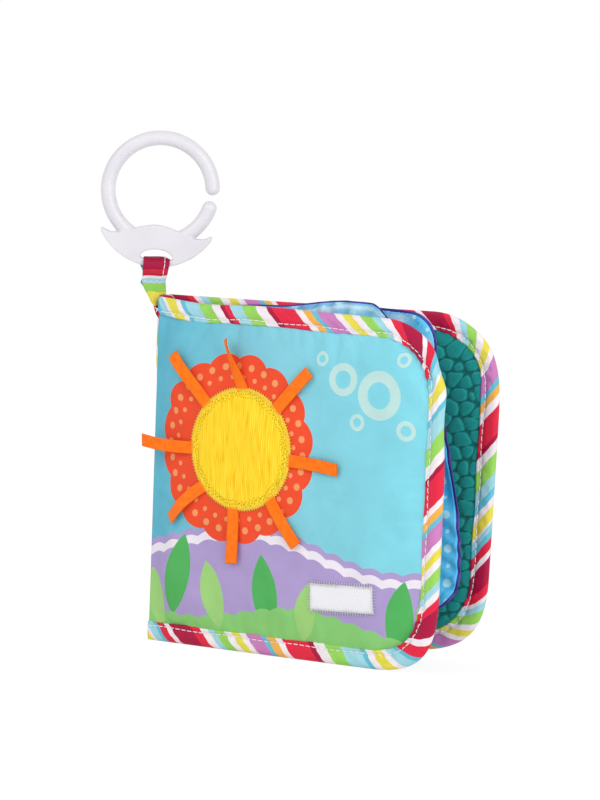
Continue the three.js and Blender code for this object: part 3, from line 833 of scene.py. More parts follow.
def satinTape(name, bands, paintedShadeScale=1):
    # Polyester satin tape cut on the bias and printed in stripes: a soft gloss over fine twill threads.
    made, tree, shader = newMaterial(name, {"Roughness": 0.5, "Specular IOR Level": 0.25})
    place = weaveBump(tree, shader, 0.45, 0.035)
    along = add(tree, "SeparateXYZ", {0: place}).outputs[0]
    repeat = sum(width for width, ink in bands)
    share = reckon(tree, "FRACT", reckon(tree, "DIVIDE", along, repeat))
    stops = []
    start = 0
    for width, ink in bands:
        stops.append((start / repeat, inks[ink]))
        start += width
    ramp = add(tree, "ValToRGB", {0: share}, stops)
    ramp.color_ramp.interpolation = "CONSTANT"
    patchy = noisy(tree, place, 0.25, 3)
    # A scale below 1 darkens this copy of the tape as painted shade; 1 leaves it as printed.
    mottle(tree, shader, patchy, 0.95 * paintedShadeScale, 1.04 * paintedShadeScale, ramp.outputs[0])
    return made


# The cover's edge runs along the head, round a corner, down the free edge, round a corner and back.
corner = book["cornerRadius"]
straight = book["coverWidth"] - corner
arc = corner * math.pi / 2
free = book["coverHeight"] - 2 * corner
edgeLength = 2 * (straight + arc) + free


def edgePoint(run, inset):  # run counts along the cover's edge from the head of the spine
    radius = corner - inset
    high = book["coverHeight"] - corner
    a = (run - straight) / corner
    b = (run - straight - arc - free) / corner
    left = run - 2 * arc - free - straight
    places = [
        (run <= straight, run, book["coverHeight"] - inset + 0 * run),
        (a <= math.pi / 2, straight + radius * np.sin(a), high + radius * np.cos(a)),
        (b <= 0, straight + radius, high - (run - straight - arc)),
        (b <= math.pi / 2, straight + radius * np.cos(b), corner - radius * np.sin(b)),
        (b > math.pi / 2, straight - left, inset + 0 * run),
    ]
    tests = [place[0] for place in places]
    x = np.select(tests, [place[1] + 0 * inset for place in places])
    z = np.select(tests, [place[2] + 0 * inset for place in places])
    return x, z


def cornerShare(run):  # 1 inside the two round corners
    share = np.zeros_like(run)
    for middle in (straight + arc / 2, straight + 1.5 * arc + free):
        share = np.maximum(share, ease((arc / 2 + 4 - np.abs(run - middle)) / 8))
    return share


def tapePoint(side, run, across, lift=0):
    # across counts from the fold, and above zero is the cover's outer face
    half = book["bindingHalf"]
    away = np.abs(across)
    turn = np.clip(away / half, 0, math.pi / 2)
    inset = half * (1 - np.cos(turn)) + np.maximum(away - half * math.pi / 2, 0)
    flat = ease((inset - 1) / 2)
    depth = half * np.sin(turn)
    depth = depth + tape["puff"] * np.sin(np.pi * clamp((inset - 0.8) / (tape["seamInset"] - 0.8)))
    pull = tape["pull"] + tape["pullSwing"] * np.sin(2 * math.pi * run / tape["stitchPitch"])
    depth = depth - pull * bell((inset - tape["seamInset"]) / 0.75)
    depth = depth - tape["hemDrop"] * ease((inset - book["bindingWidth"] + 0.9) / 1.1)
    lean = run - 1.1 * np.sign(across) * inset
    wave = np.sin(2 * math.pi * lean / tape["wavePitch"] + 1.7 * np.sin(run / 23))
    wave = wave * (0.5 + 0.5 * np.sin(run / 13 + side))
    depth = depth + tape["waveDepth"] * flat * wave * ease((tape["seamInset"] - inset) / 2 + 0.4)
    pleat = np.sin(2 * math.pi * run / tape["pleatPitch"] + 0.8 * np.sin(run / 9))
    depth = depth + tape["pleatDepth"] * cornerShare(run) * pleat * ease((inset - 3) / 4)
    dents = [dent * bell((run - middle) / reach) for middle, dent, reach in tape["dents"][side]]
    drawnIn = sum(dents) * (1 - ease(inset / tape["seamInset"]))
    x, z = edgePoint(run, inset + drawnIn + 0.25 * flat * np.sin(run / 6.3 + across))
    return coverPoint(side, x, np.sign(across) * (depth + lift), z)


def makeBinding(side, printRun):
    grid, along, up = unitGrid(tape["along"], tape["across"])
    across = (2 * up - 1) * tape["reach"]
    knots, prints = zip(*printRun)
    columns = np.linspace(0, edgeLength, tape["along"] + 1)
    for knot, following in zip(knots, knots[1:]):
        if following - knot < 0.2:  # the tape is pieced here, so two columns stand at the join
            nearest = np.abs(columns - knot).argmin()
            columns[nearest : nearest + 2] = knot, following
    # The columns follow the stripes' slant, and straighten towards the tape's two ends.
    column = columns[np.round(along * tape["along"]).astype(int)]
    slant = np.interp(column, *zip(*tape["slants"][side]))
    slope = slant * ease(column / 30) * ease((edgeLength - column) / 30)
    run = column - side * slope * across
    points = tapePoint(side, run, np.where(across == 0, 1e-6, across))
    slanted = run + side * slant * across
    past = np.minimum(slanted, 0) + np.maximum(slanted - knots[-1], 0)
    printed = np.interp(slanted, knots, prints) - side * past
    shapeSheet(grid, points, (0, 0, 1), np.stack([printed, across], 1))
    faceUp(grid)
    body = words[side] + "_cover"
    piece = makePiece(words[side] + "Binding", grid, stripedTape, body, [body + "_binding"])
    thicken(piece, tape["thickness"])


def threadMaterial(name, colour):
    # Polyester sewing thread: two twisted strands with a slight sheen.
    made, tree, shader = newMaterial(name, {"Roughness": 0.5, "Sheen Weight": 0.3})
    darker = "#" + "".join(f"{int(int(colour[i : i + 2], 16) * 0.84):02x}" for i in (1, 3, 5))
    tint(tree, shader, noisy(tree, objectMap(tree), 2600, 2), [(0.35, darker), (0.6, colour)])
    return made


whiteThread = threadMaterial("whitePolyesterThread", "#fbf8f9")


def makeSeam(side):
    across = tape["seamInset"] - book["bindingHalf"] + book["bindingHalf"] * math.pi / 2
    shares = np.array([0, 0.2, 0.5, 0.8, 1])
    lift = np.array([-0.15, 0.22, 0.3, 0.22, -0.15])
    strokes = []
    for number in range(int(edgeLength / tape["stitchPitch"])):
        run = (number + 0.5) * tape["stitchPitch"] + tape["stitch"] * shares
        strokes += [tapePoint(side, run, face * across + 0 * shares, lift) for face in (1, -1)]
    name, body = words[side] + "BindingSeam", words[side] + "_cover"
    threads(name, strokes, tape["thread"], whiteThread, body)


stripedTape = satinTape("stripedSatinTape", stripes)
makeBinding(front, frontPrintRun)
makeBinding(back, backPrintRun)
makeSeam(front)
makeSeam(back)
print("bindings made")

# Leaves: blue satin in front and violet behind, sewn round the edge over crinkle film

leaf = {
    "root": 4.35,
    "width": 159,
    "bottom": 19,
    "corner": 18,
    "cloth": 0.2,
    "clear": 0.4,  # from a leaf's middle to its outer surface, at the edge
    "seam": 5,
    "groove": 0.12,
    "puff": 0.9,
    "puffReach": 16,
    "angles": [-4.3, 1.2],
    "rootAngles": [-8, 6.5],
    "sways": [-4.5, -12.5],
    "ripples": [1.2, 6.5],
    "rippleTurns": [2.6, 2],
    "rootDrops": [3, 4.5],
    "rootDropEnds": [(20, 65), (50, 105)],
    "rise": 5.8,
    "riseStart": 60,
    "riseReach": 50,
    "drops": [16, 2.8],
    "dropStarts": [121, 90],
    "dropReach": 22,
    "cutIns": [0, 3.3],  # how far the upper corner stands back
    "backEdges": [0.8, 1.3],  # how far the violet back turns past the blue front
    "gatherPitch": 7.4,
    "gatherDepth": 0.55,
    "creaseDepth": 0.5,
    "puckerPitch": 4.1,
    "puckerDepth": 0.3,
    "dotStep": 8.5,
    "dotSizes": [2.1, 1.15],
    "film": 0.12,
    "filmCrumple": 0.35,
    "cells": 150,
}
leafPanel = {
    "root": leaf["root"],
    "free": leaf["width"],
    "bottom": leaf["bottom"],
    "top": book["coverHeight"],
    "corner": leaf["corner"],
    "rootInsetShare": 1,
}


def leafWave(index, x, z):  # soft creases of the whole leaf, gathered by the seam round its edge
    inset = insetOf(leafPanel, x, z)
    gathered = ease((22 - inset) / 16) * ease((x - 14) / 20)
    around = (x + z) / leaf["gatherPitch"] + 1.5 * np.sin(x / 15 + index) + 1.3 * np.sin(z / 11 + 2 * index)
    creases = leaf["creaseDepth"] * ease((x - 20) / 30) * unevenness(x, z, 26, 7 + index)
    return leaf["gatherDepth"] * gathered * np.sin(around * math.pi) + creases


def leafPoint(index, x, depth, z):
    height = (z - leaf["bottom"]) / (book["coverHeight"] - leaf["bottom"])
    ripple = leaf["ripples"][index] * np.sin(leaf["rippleTurns"][index] * math.pi * height)
    bend = (x / leaf["width"]) ** 2 * (leaf["sways"][index] * (2 * height - 1) + ripple)
    shift = leaf["root"] * math.sin(math.radians(leaf["rootAngles"][index] - leaf["angles"][index]))
    climb = leaf["rise"] * ease((x - leaf["riseStart"]) / leaf["riseReach"])
    drop = leaf["drops"][index] * ease((x - leaf["dropStarts"][index]) / leaf["dropReach"])
    start, end = leaf["rootDropEnds"][index]
    drop = drop + leaf["rootDrops"][index] * (1 - ease((x - start) / (end - start)))
    across = shift + depth + bend + leafWave(index, x, z)
    cutIn = leaf["cutIns"][index] * ease((height - 0.6) / 0.3) * (x / leaf["width"]) ** 3
    return turned(x - cutIn, across, z + climb - drop * height**3, leaf["angles"][index])


def leafDepth(index, x, z, number):  # depth of a cloth's outer surface from the leaf's middle
    inset = insetOf(leafPanel, x, z)
    puff = leaf["puff"] * swell((inset - leaf["seam"]) / leaf["puffReach"])
    fullness = np.maximum(0.25 + 0.6 * unevenness(x, z, 12, 17 + index * 3 + number), 0) * ease(inset / 8)
    groove = leaf["groove"] * bell((inset - leaf["seam"]) / 0.9)
    along = x - z + 2.2 * unevenness(x, z, 6, 61 + index)
    pucker = 0.5 + 0.5 * np.sin(2 * math.pi * along / leaf["puckerPitch"])
    pucker = leaf["puckerDepth"] * pucker * ease(inset / 2) * ease((12 - inset) / 8)
    return leaf["clear"] + puff + fullness + pucker - groove


def satin(name, colours, dots):
    # Polyester satin: smooth long floats of thread that catch the light in soft bands.
    made, tree, shader = newMaterial(name, {"Roughness": 0.34, "Specular IOR Level": 0.55})
    place = weaveBump(tree, shader, 0.45, 0.03)
    stops = [(0.35, colours[0]), (0.65, colours[1])]
    colour = add(tree, "ValToRGB", {0: noisy(tree, place, 0.035, 3)}, stops).outputs[0]
    if dots:
        # Painted highlight: a pale blue mixed in over the printed dots, along the seam.
        colour = mixIn(tree, painted(tree, "paintedHighlight"), printOn(tree, "dots", 5, colour, dots), "#cdf1ff")
    tree.links.new(colour, shader.inputs["Base Color"])
    return made


def crinkleFilm():
    # Thin PET film, slightly milky, crumpled once so that it rustles.
    sockets = {"Roughness": 0.25, "IOR": 1.57, "Transmission Weight": 0.5}
    made, tree, shader = newMaterial("crinkledPetFilm", sockets)
    cells = {"Vector": objectMap(tree), "Scale": 90}
    creases = add(tree, "TexVoronoi", cells, feature="DISTANCE_TO_EDGE").outputs[0]
    # Darker along the creases: painted shade.
    tint(tree, shader, creases, [(0, "#c9d2d8"), (0.2, "#e6ebee")])
    emboss(tree, shader, creases, 0.4)
    return made


def dotRows(x, z):  # polka dots in slanting rows, large and small in turn
    step = leaf["dotStep"]
    column = np.round(x / step)
    row = np.round(z / step - column / 3)
    dotX = column * step
    dotZ = (row + column / 3) * step
    return np.where((column + row) % 2 == 0, *leaf["dotSizes"]) - np.hypot(x - dotX, z - dotZ)


def paintedSeamHighlight(x, z, index):  # painted highlight: a pale band inside the seam near the top, where the satin would catch the light
    inset = insetOf(leafPanel, x, z) + 1.5 * unevenness(x, z, 9, 73 + index)
    strength = clamp(0.95 - 0.4 * index + 1.1 * unevenness(x, z, 13, 71 + index)) * ease((z - 135) / 22)
    line = ease((inset - 1.6) / 1.6) * ease((6.5 - inset) / 3)
    return strength * (0.7 * line + 0.25 * ease((14 - inset) / 8))


def makeLeaf(index):
    name = f"leaf{index + 1}"
    body = f"leaf_{index + 1}"
    for number, (label, facing) in enumerate((("Front", -1), ("Back", 1))):
        inset = leaf["backEdges"][index] if facing < 0 else 0
        grid, x, z = panelGrid(leafPanel, inset, leaf["cells"], leaf["cells"], 0.9)
        depth = facing * leafDepth(index, x, z, number)
        outward = Vector(turned(0.0, facing, 0, leaf["angles"][index])) / mm
        shapeSheet(grid, leafPoint(index, x, depth, z), outward, np.stack([x, z], 1))
        cloth = blueSatins[index] if facing < 0 else violetSatin
        piece = makePiece(name + label, grid, cloth, body, [f"{body}_{label.lower()}_satin"])
        if facing < 0:
            places = clothPlace(piece)
            # The dots are print; the pale band along the seam is a painted highlight.
            paint(piece, {"dots": dotRows(*places), "paintedHighlight": paintedSeamHighlight(*places, index)})
        thicken(piece, leaf["cloth"])
    grid, x, z = panelGrid(leafPanel, leaf["seam"] + 5, 60, 60, 0.5)
    crumple = leaf["filmCrumple"] * unevenness(x, z, 6, 20 + index)
    shapeSheet(grid, leafPoint(index, x, crumple, z), (0, 1, 0))
    film = makePiece(name + "Film", grid, petFilm, body, [body + "_crinkle_film"])
    thicken(film, leaf["film"], 0)


blueSatins = [
    satin("bluePolyesterSatin", ("#2a9ade", "#4cb8f2"), "#9be0f5"),
    # The second leaf's satin is the same cloth painted lighter, to make up for the shade that the covers
    # cast on it.
    satin("bluePolyesterSatinPaintedLighter", ("#2db4ee", "#58cdfb"), "#a9eafb"),
]
violetSatin = satin("violetPolyesterSatin", ("#382a8a", "#4a38a6"), None)
petFilm = crinkleFilm()
makeLeaf(0)
makeLeaf(1)
print("leaves made")

# Hinge: the front cover's cloth carries on round the spine, as a strip from beside the sleeve to the cover's
# root

hinge = {"start": (0.7, -4.0), "endX": 1.8, "endDepth": 0.1, "thickness": 0.25, "top": 1.6, "bottom": 1.2}


def makeHinge():
    grid, share, up = unitGrid(10, 90)
    z = hinge["bottom"] + (book["coverHeight"] - hinge["bottom"] - hinge["top"]) * up
    start = turned(hinge["start"][0] + 0 * z, hinge["start"][1], z, 0)
    end = coverPoint(front, hinge["endX"] + 0 * z, hinge["endDepth"], z)
    points = start + (end - start) * share[:, None]
    shapeSheet(grid, points, (-1, 0, 0), np.stack([0 * z, z], 1))
    piece = makePiece("frontHinge", grid, frontCloth, None)
    paint(piece, printFields(*clothPlace(piece), frontPrint))
    thicken(piece, hinge["thickness"])
    bake(piece)
    middle = np.abs(z - z.mean()) < 2
    first = points[middle & (share == 0)].mean(axis=0)
    last = points[middle & (share == 1)].mean(axis=0)
    last[2] = first[2]
    width = np.linalg.norm(last - first)
    print("hinge is", round(width / mm, 2), "mm wide")
    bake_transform(piece)


makeHinge()
print("hinge made")

# Patch of corduroy, ribbon tabs and label on the front cover

facePoints = [vertex.co for vertex in frontFace.data.vertices]
faceTree = BVHTree.FromPolygons(facePoints, [polygon.vertices for polygon in frontFace.data.polygons])
outFront = outwardOf(front)


def onFront(x, z, rise):  # a point that stands on the front face, however its cloth has settled
    point = Vector(coverPoint(front, np.float64(x), faceDepth(np.float64(x), np.float64(z)), np.float64(z)))
    start = point + outFront * 0.01
    hit = faceTree.ray_cast(start, -outFront, 0.02)[0]
    return (hit if hit is not None else point) + outFront * rise * mm


patch = {
    "radius": 30,
    "centre": (57.3, book["coverHeight"] - 70),
    "edgeHeight": 0.5,
    "rim": 0.55,
    "rimReach": 2.2,
    "puff": 1.1,
    "thickness": 0.4,
    "wale": 1.3,  # corduroy of about 20 wales to the inch
    "waleDepth": 0.2,
    "columns": 260,
    "rows": 80,
    "unevenness": 0.45,
    "seamDepth": 0.3,
    "zigzagPitch": 1.5,
    "zigzagWidth": 2.6,
    "thread": 0.42,
    "needleHoles": 0.75,  # the size of the dark dots of painted shade in the holes where the needle went in
    "needleRows": (2.6, 4.1),
}


def corduroy():
    # Cotton corduroy with its pile crushed flat: matt, streaked along the wales, with painted shade in the
    # furrows.
    made, tree, shader = newMaterial("cottonCorduroy", {"Roughness": 0.88, "Specular IOR Level": 0.15})
    place = clothMap(tree)
    stretched = add(tree, "Mapping", {"Vector": place, "Scale": (1.5, 0.16, 1)}).outputs[0]
    # Streaks where the pile is crushed are the cloth's tone; the furrows between wales are darker as painted
    # shade.
    mixed = reckon(tree, "MULTIPLY_ADD", noisy(tree, stretched, 0.5, 5), 1.1, painted(tree, "wale"))
    stops = [(0.18, "#eebb1d"), (0.28, "#fbce26"), (0.45, "#fdd833"), (0.75, "#ffe24a")]
    colour = add(tree, "ValToRGB", {0: reckon(tree, "MULTIPLY", mixed, 0.45)}, stops).outputs[0]
    # Painted shade: dark dots in the needle holes.
    dotted = printOn(tree, "needleHoles", 3, colour, "#a5970f")
    tree.links.new(dotted, shader.inputs["Base Color"])
    emboss(tree, shader, noisy(tree, place, 3.2, 3), 0.14)
    return made


def needleRows(aside, above):  # two rows of holes inside the patch's edge, above zero inside a hole
    away = np.hypot(aside, above)
    angle = np.arctan2(above, aside)
    step = patch["zigzagPitch"] / patch["radius"]
    nearest = np.full_like(away, -9.0)
    for row, inset in enumerate(patch["needleRows"]):
        turn = (np.round(angle / step - row / 2) + row / 2) * step
        radius = patch["radius"] - inset + 0.9 * np.sin(turn * 37 + row) * np.sin(turn * 23)
        gap = np.hypot(aside - radius * np.cos(turn), above - radius * np.sin(turn))
        nearest = np.maximum(nearest, patch["needleHoles"] / 2 - gap)
    return nearest


def patchPoint(away, angle):  # from the patch's centre
    return patch["centre"][0] + away * math.cos(angle), patch["centre"][1] + away * math.sin(angle)


def makePatch():
    grid, across, up = unitGrid(patch["columns"], patch["rows"])
    aside = patch["radius"] * 0.998 * (2 * across - 1)
    chord = np.sqrt(patch["radius"] ** 2 - aside**2)
    above = chord * np.sin((2 * up - 1) * math.pi / 2)
    x = patch["centre"][0] + aside
    z = patch["centre"][1] + above
    inset = patch["radius"] - np.hypot(aside, above)
    crushed = unevenness(aside * 6, above, 9, 12)
    wale = 0.5 + 0.5 * np.cos(2 * math.pi * (aside + 0.5 * unevenness(aside, above, 8, 2)) / patch["wale"])
    wale = wale * clamp(0.55 + 1.3 * crushed)
    height = patch["edgeHeight"] + patch["rim"] * swell(inset / patch["rimReach"])
    height = height + patch["puff"] * ease(inset / 16)
    height = height + patch["waleDepth"] * (wale - 0.5) * ease(inset / 3)
    height = height + patch["unevenness"] * unevenness(x, z, 8, 31) * ease(inset / 5)
    height = height - patch["seamDepth"] * bell((inset - patch["zigzagWidth"]) / 1.1)
    points = [onFront(a, b, h) for a, b, h in zip(x, z, height)]
    shapeSheet(grid, points, outFront, np.stack([x, z], 1))
    piece = makePiece("corduroyPatch", grid, corduroy(), "front_cover", ["applique_patch"])
    # wale feeds the painted shade in the furrows, needleHoles the painted shade in the holes
    paint(piece, {"wale": wale, "needleHoles": needleRows(aside, above)})
    thicken(piece, patch["thickness"])
    count = round(2 * math.pi * patch["radius"] / patch["zigzagPitch"])
    stroke = []
    for number in range(count * 4):
        angle = 2 * math.pi * number / (count * 4)
        swing = (0, 0.5, 1, 0.5)[number % 4]
        inset = patch["zigzagWidth"] * swing - 0.75
        radius = patch["radius"] - inset
        height = 0.3 + (patch["rim"] + 0.3) * swell(max(inset, 0) / patch["rimReach"]) - 0.15 * swing
        if swing == 0.5:
            height += 0.3
        stroke.append(onFront(*patchPoint(radius, angle), height))
    thread = threadMaterial("yellowPolyesterThread", "#ffdd35")
    threads("patchZigzag", [stroke], patch["thread"], thread, "front_cover", closed=True)


ribbon = {
    "width": 6.2,
    "length": 27,
    "rootGap": -1.2,  # the tabs start under the patch's edge
    "hinge": 1.3,
    "foldReach": 0.9,
    "rise": 0.35,
    "layer": 0.42,
    "thickness": 0.32,
    "angles": [46, 92, 135.3, 182.8, 222.8, 264.2, 308.5, 354.2],
    "skews": [0, 18, -4.3, -5, 0, 8, 2, 2],  # degrees that a tab turns from straight outwards, at its hinge
    "lengthShares": [0.95, 0.88, 1.07, 0.98, 0.9, 0.92, 0.93, 1.0],
    "liftShares": [0.05, 0.12, 0.09, 0.28, 0.04, 0.06, 0.05, 0.03],
    "twists": [0, -50, 0, -8, 10, -6, 0, 8],
    "bows": [0, 0, -0.3, 0.7, -1.3, 0.7, -0.4, 0.4],  # how far the middle of each stands aside
    "along": 84,
    "across": 12,
    "ribSpacing": 0.6,  # real ribs are 0.4 mm apart, drawn coarser so that they show
}


def grosgrain():
    # Polyester grosgrain: ribs across the ribbon and a soft gloss, edges woven firm.
    made, tree, shader = newMaterial("polyesterGrosgrain", {"Roughness": 0.5, "Specular IOR Level": 0.2})
    place = clothMap(tree)
    emboss(tree, shader, ribs(tree, place, 0, ribbon["ribSpacing"]), 0.05)
    tint(tree, shader, noisy(tree, place, 0.3, 3), [(0.3, "#ff6a00"), (0.7, "#ff8204")])
    return made


def makeRibbon(index, material):
    angle, skew, wholeTwist = (math.radians(ribbon[key][index]) for key in ("angles", "skews", "twists"))
    length = ribbon["length"] * ribbon["lengthShares"][index] + ribbon["hinge"] - ribbon["rootGap"]
    grid, along, up = unitGrid(ribbon["along"], ribbon["across"])
    bend = ribbon["layer"] / 2
    total = 2 * length + math.pi * bend
    run = along * total
    over = np.clip((run - length) / bend, 0, math.pi)
    reach = np.where(run < length, run, np.where(over < math.pi, length + bend * np.sin(over), total - run))
    layer = ribbon["rise"] + bend * (1 - np.cos(over))
    share = clamp(reach / length)
    aside = (up - 0.5) * ribbon["width"]
    twist = wholeTwist * ease(share * 1.15)
    bow = ribbon["bows"][index] * np.sin(math.pi * share)
    lift = layer + length * ribbon["liftShares"][index] * ease(share)
    lift = lift + 0.35 * np.sin(math.pi * share) + ribbon["width"] / 2 * np.abs(np.sin(twist))
    sideways = aside * np.cos(twist) - (layer - ribbon["rise"] - bend) * np.sin(twist) + bow
    height = lift + aside * np.sin(twist)
    skewed = angle + skew
    hingeAway = patch["radius"] + ribbon["hinge"]
    hingeX, hingeZ = patchPoint(hingeAway, angle)
    past = reach - ribbon["hinge"] + ribbon["rootGap"]
    x = hingeX + past * math.cos(skewed) - sideways * math.sin(skewed)
    z = hingeZ + past * math.sin(skewed) + sideways * math.cos(skewed)
    points = [onFront(a, b, h) for a, b, h in zip(x, z, height)]
    shapeSheet(grid, points, outFront, np.stack([run, aside], 1))
    number = index + 1
    piece = makePiece(f"ribbonTab{number}", grid, material, None, [f"ribbon_tab_{number}"])
    thicken(piece, ribbon["thickness"], 0)
    bake(piece)
    ends = (hingeAway - ribbon["foldReach"], hingeAway + ribbon["foldReach"])
    fold = [tuple(onFront(*patchPoint(away, angle), ribbon["rise"])) for away in ends]
    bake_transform(piece)


label = {
    "width": 37,
    "height": 13.2,
    "centre": (book["coverWidth"] - 52.2, 33),
    "lean": 2.5,
    "rise": 0.55,
    "puff": 0.35,
    "thickness": 0.4,
    "thread": 0.42,
    "stitchPitch": 1.5,
    "toothOut": 1.25,
    "toothIn": 1.3,
}


def wovenLabel():
    # Damask-woven polyester label, left blank: fine flat threads with a silky face.
    made, tree, shader = newMaterial("wovenPolyesterLabel", {"Roughness": 0.6, "Sheen Weight": 0.2})
    place = weaveBump(tree, shader, 0.5, 0.05)
    tint(tree, shader, noisy(tree, place, 1.5, 3), [(0.3, "#ebe9f0"), (0.7, "#f8f7fb")])
    return made


def labelPoint(along, above, rise):
    lean = math.radians(label["lean"])
    x = label["centre"][0] + along * math.cos(lean) - above * math.sin(lean)
    z = label["centre"][1] + along * math.sin(lean) + above * math.cos(lean)
    return onFront(x, z, rise)


def makeLabel():
    grid, across, up = unitGrid(60, 26)
    along = (across - 0.5) * label["width"]
    above = (up - 0.5) * label["height"]
    fromEdge = np.minimum(label["width"] / 2 - np.abs(along), label["height"] / 2 - np.abs(above))
    rise = label["rise"] + label["puff"] * swell(fromEdge / 3) + 0.3 * unevenness(along, above, 9, 4)
    points = [labelPoint(a, b, r) for a, b, r in zip(along, above, rise)]
    shapeSheet(grid, points, outFront, np.stack([along, above], 1))
    piece = makePiece("wovenLabel", grid, wovenLabel(), "front_cover", ["woven_label"])
    thicken(piece, label["thickness"])
    half = Vector((label["width"] / 2, label["height"] / 2))
    corners = [Vector((a * half.x, b * half.y)) for a, b in ((-1, -1), (1, -1), (1, 1), (-1, 1))]
    stroke = []
    for start, end in zip(corners, corners[1:] + corners[:1]):
        span = end - start
        count = round(span.length / label["stitchPitch"])
        inwards = Vector((-span.y, span.x)).normalized()
        for number in range(count * 2):
            place = start + span * number / (count * 2)
            place = place + inwards * (label["toothIn"] if number % 2 else -label["toothOut"])
            stroke.append(labelPoint(place.x, place.y, label["rise"] + (label["puff"] if number % 2 else 0)))
    threads("labelZigzag", [stroke], label["thread"], whiteThread, "front_cover", closed=True)


makePatch()
orangeRibbon = grosgrain()
for number in range(len(ribbon["angles"])):
    makeRibbon(number, orangeRibbon)
makeLabel()
print("patch, tabs and label made")

# Spine: a sleeve of striped tape round a soft core, with a turned end at its head and foot

spine = {
    "band": 9.5,
    "wall": 0.6,
    "sides": 48,
    "wobble": 0.12,
    "flatShare": 0.62,  # the sleeve is squeezed flat behind the front cover's root
    "headShare": 0.92,  # less so near its head, where a sliver of it shows
    "headStart": 126,
    "headReach": 14,
    "printShift": 45,
}


def makeRoll(name, profile, material, replaced, wall=0):
    mesh = bmesh.new()
    points = [mesh.verts.new((radius * mm, 0, z * mm)) for radius, z in profile]
    edges = [mesh.edges.new(pair) for pair in zip(points, points[1:])]
    whole = {"angle": 2 * math.pi, "steps": spine["sides"], "use_merge": True}
    bmesh.ops.spin(mesh, geom=points + edges, cent=(0, 0, 0), axis=(0, 0, 1), **whole)
    bmesh.ops.remove_doubles(mesh, verts=mesh.verts, dist=1e-6)
    bmesh.ops.recalc_face_normals(mesh, faces=mesh.faces)
    mesh.verts.index_update()
    for vertex in mesh.verts:
        swing = noise.noise(vertex.co * 160) * spine["wobble"] * mm
        share = float(ease((vertex.co.z / mm - spine["headStart"]) / spine["headReach"]))
        flat = spine["flatShare"] + (spine["headShare"] - spine["flatShare"]) * share
        # The width is taken anew for y, after x has moved.
        vertex.co.x *= (1 + swing / (vertex.co.xy.length + 1e-4)) * (flat if vertex.co.x < 0 else 1)
        vertex.co.y *= 1 + swing / (vertex.co.xy.length + 1e-4)
    layer = mesh.loops.layers.uv.new("cloth")
    for face in mesh.faces:
        middle = math.atan2(face.calc_center_median().y, face.calc_center_median().x)
        for loop in face.loops:
            turn = math.atan2(loop.vert.co.y, loop.vert.co.x)
            turn = middle + (turn - middle + math.pi) % (2 * math.pi) - math.pi
            around = turn * book["spineRadius"]
            loop[layer].uv = (loop.vert.co.z / mm + around * 0.9 - spine["printShift"], around)
    piece = makePiece(name, mesh, material, "back_cover", [replaced])
    if wall:
        thicken(piece, wall)


radius = book["spineRadius"]
head = book["coverHeight"]
gap = book["clothGap"]
turnedEnd = [(0, 0.05), (radius * 0.6, 0), (radius * 0.85, 0.25), (radius, 1.3), (radius, spine["band"])]
bodyRows = np.linspace(spine["band"] + gap, head - spine["band"] - gap, 60)
for name, profile, replaced in (
    ("spineSleeve", [(radius, z) for z in bodyRows], "spine_roll"),
    ("spineFoot", turnedEnd, "spine_band_foot"),
    ("spineHead", [(r, head - z) for r, z in turnedEnd], "spine_band_head"),
):
    makeRoll(name, profile, stripedTape, replaced, spine["wall"])
inner = radius - spine["wall"] - gap
coreEnd = [(0, 1), (inner * 0.8, 1.1), (inner, 2)]
coreProfile = coreEnd + [(inner, head / 2)] + [(r, head - z) for r, z in reversed(coreEnd)]
makeRoll("spineCore", coreProfile, batting, "spine_core")
print("spine made")

# Strap of tape folded over the ring's bar, and the link ring

strap = {
    "yaw": 28,
    "widths": [9.4, 10.8, 11.6, 12.8],  # at the foot, the waist, the throat and the ring's bar
    "shifts": [-4.5, -5.5, -6.2, -5.0],  # sideways from the spine's axis
    "eyeRadius": 4.2,
    "eyeFlat": 0.66,  # the loop lies flatter over the bar than a round one
    "eyeDroop": 1.5,  # and hangs over the bar's end at the right
    "eyeZ": book["coverHeight"] + 15.2,
    "footZ": book["coverHeight"] + 0.35,
    "tape": 1.0,
    "thread": 0.42,
    "closingSeam": 5.9,  # its place up the front leg
    "edgeSeam": 8.2,  # where it starts, at the strap's right edge
    "edgePitch": 3.3,
    "along": 140,
    "across": 24,
    "bands": [
        (0.95, "yellow"), (4.3, "green"), (2.3, "pale"), (1.4, "white"), (5.8, "red"), (12.5, "crimson"),
        (1.2, "white"), (6.5, "teal"), (4, "pale"), (5.5, "teal"), (6, "green"), (3, "white"),
        (8, "crimson"), (6.4, "yellow"),
    ],
    # Where the rear layer's edge stands out: height, reach and spread.
    "flares": [(185, 2.0, 2.6), (175.6, 0.9, 1.2)],
}
strapHalf = strap["tape"] / 2
strapEye = strap["eyeRadius"] + strapHalf
strapMeet = math.acos((strapHalf + 0.05) / strapEye)
strapStem = strap["eyeZ"] - strapEye * math.sin(strapMeet) - strap["footZ"]
strapTotal = 2 * strapStem + strapEye * (math.pi + 2 * strapMeet)


def hangerPoint(across, through, z):  # across runs along the ring's bar, through from front to back
    return turned(across, through, z, strap["yaw"])


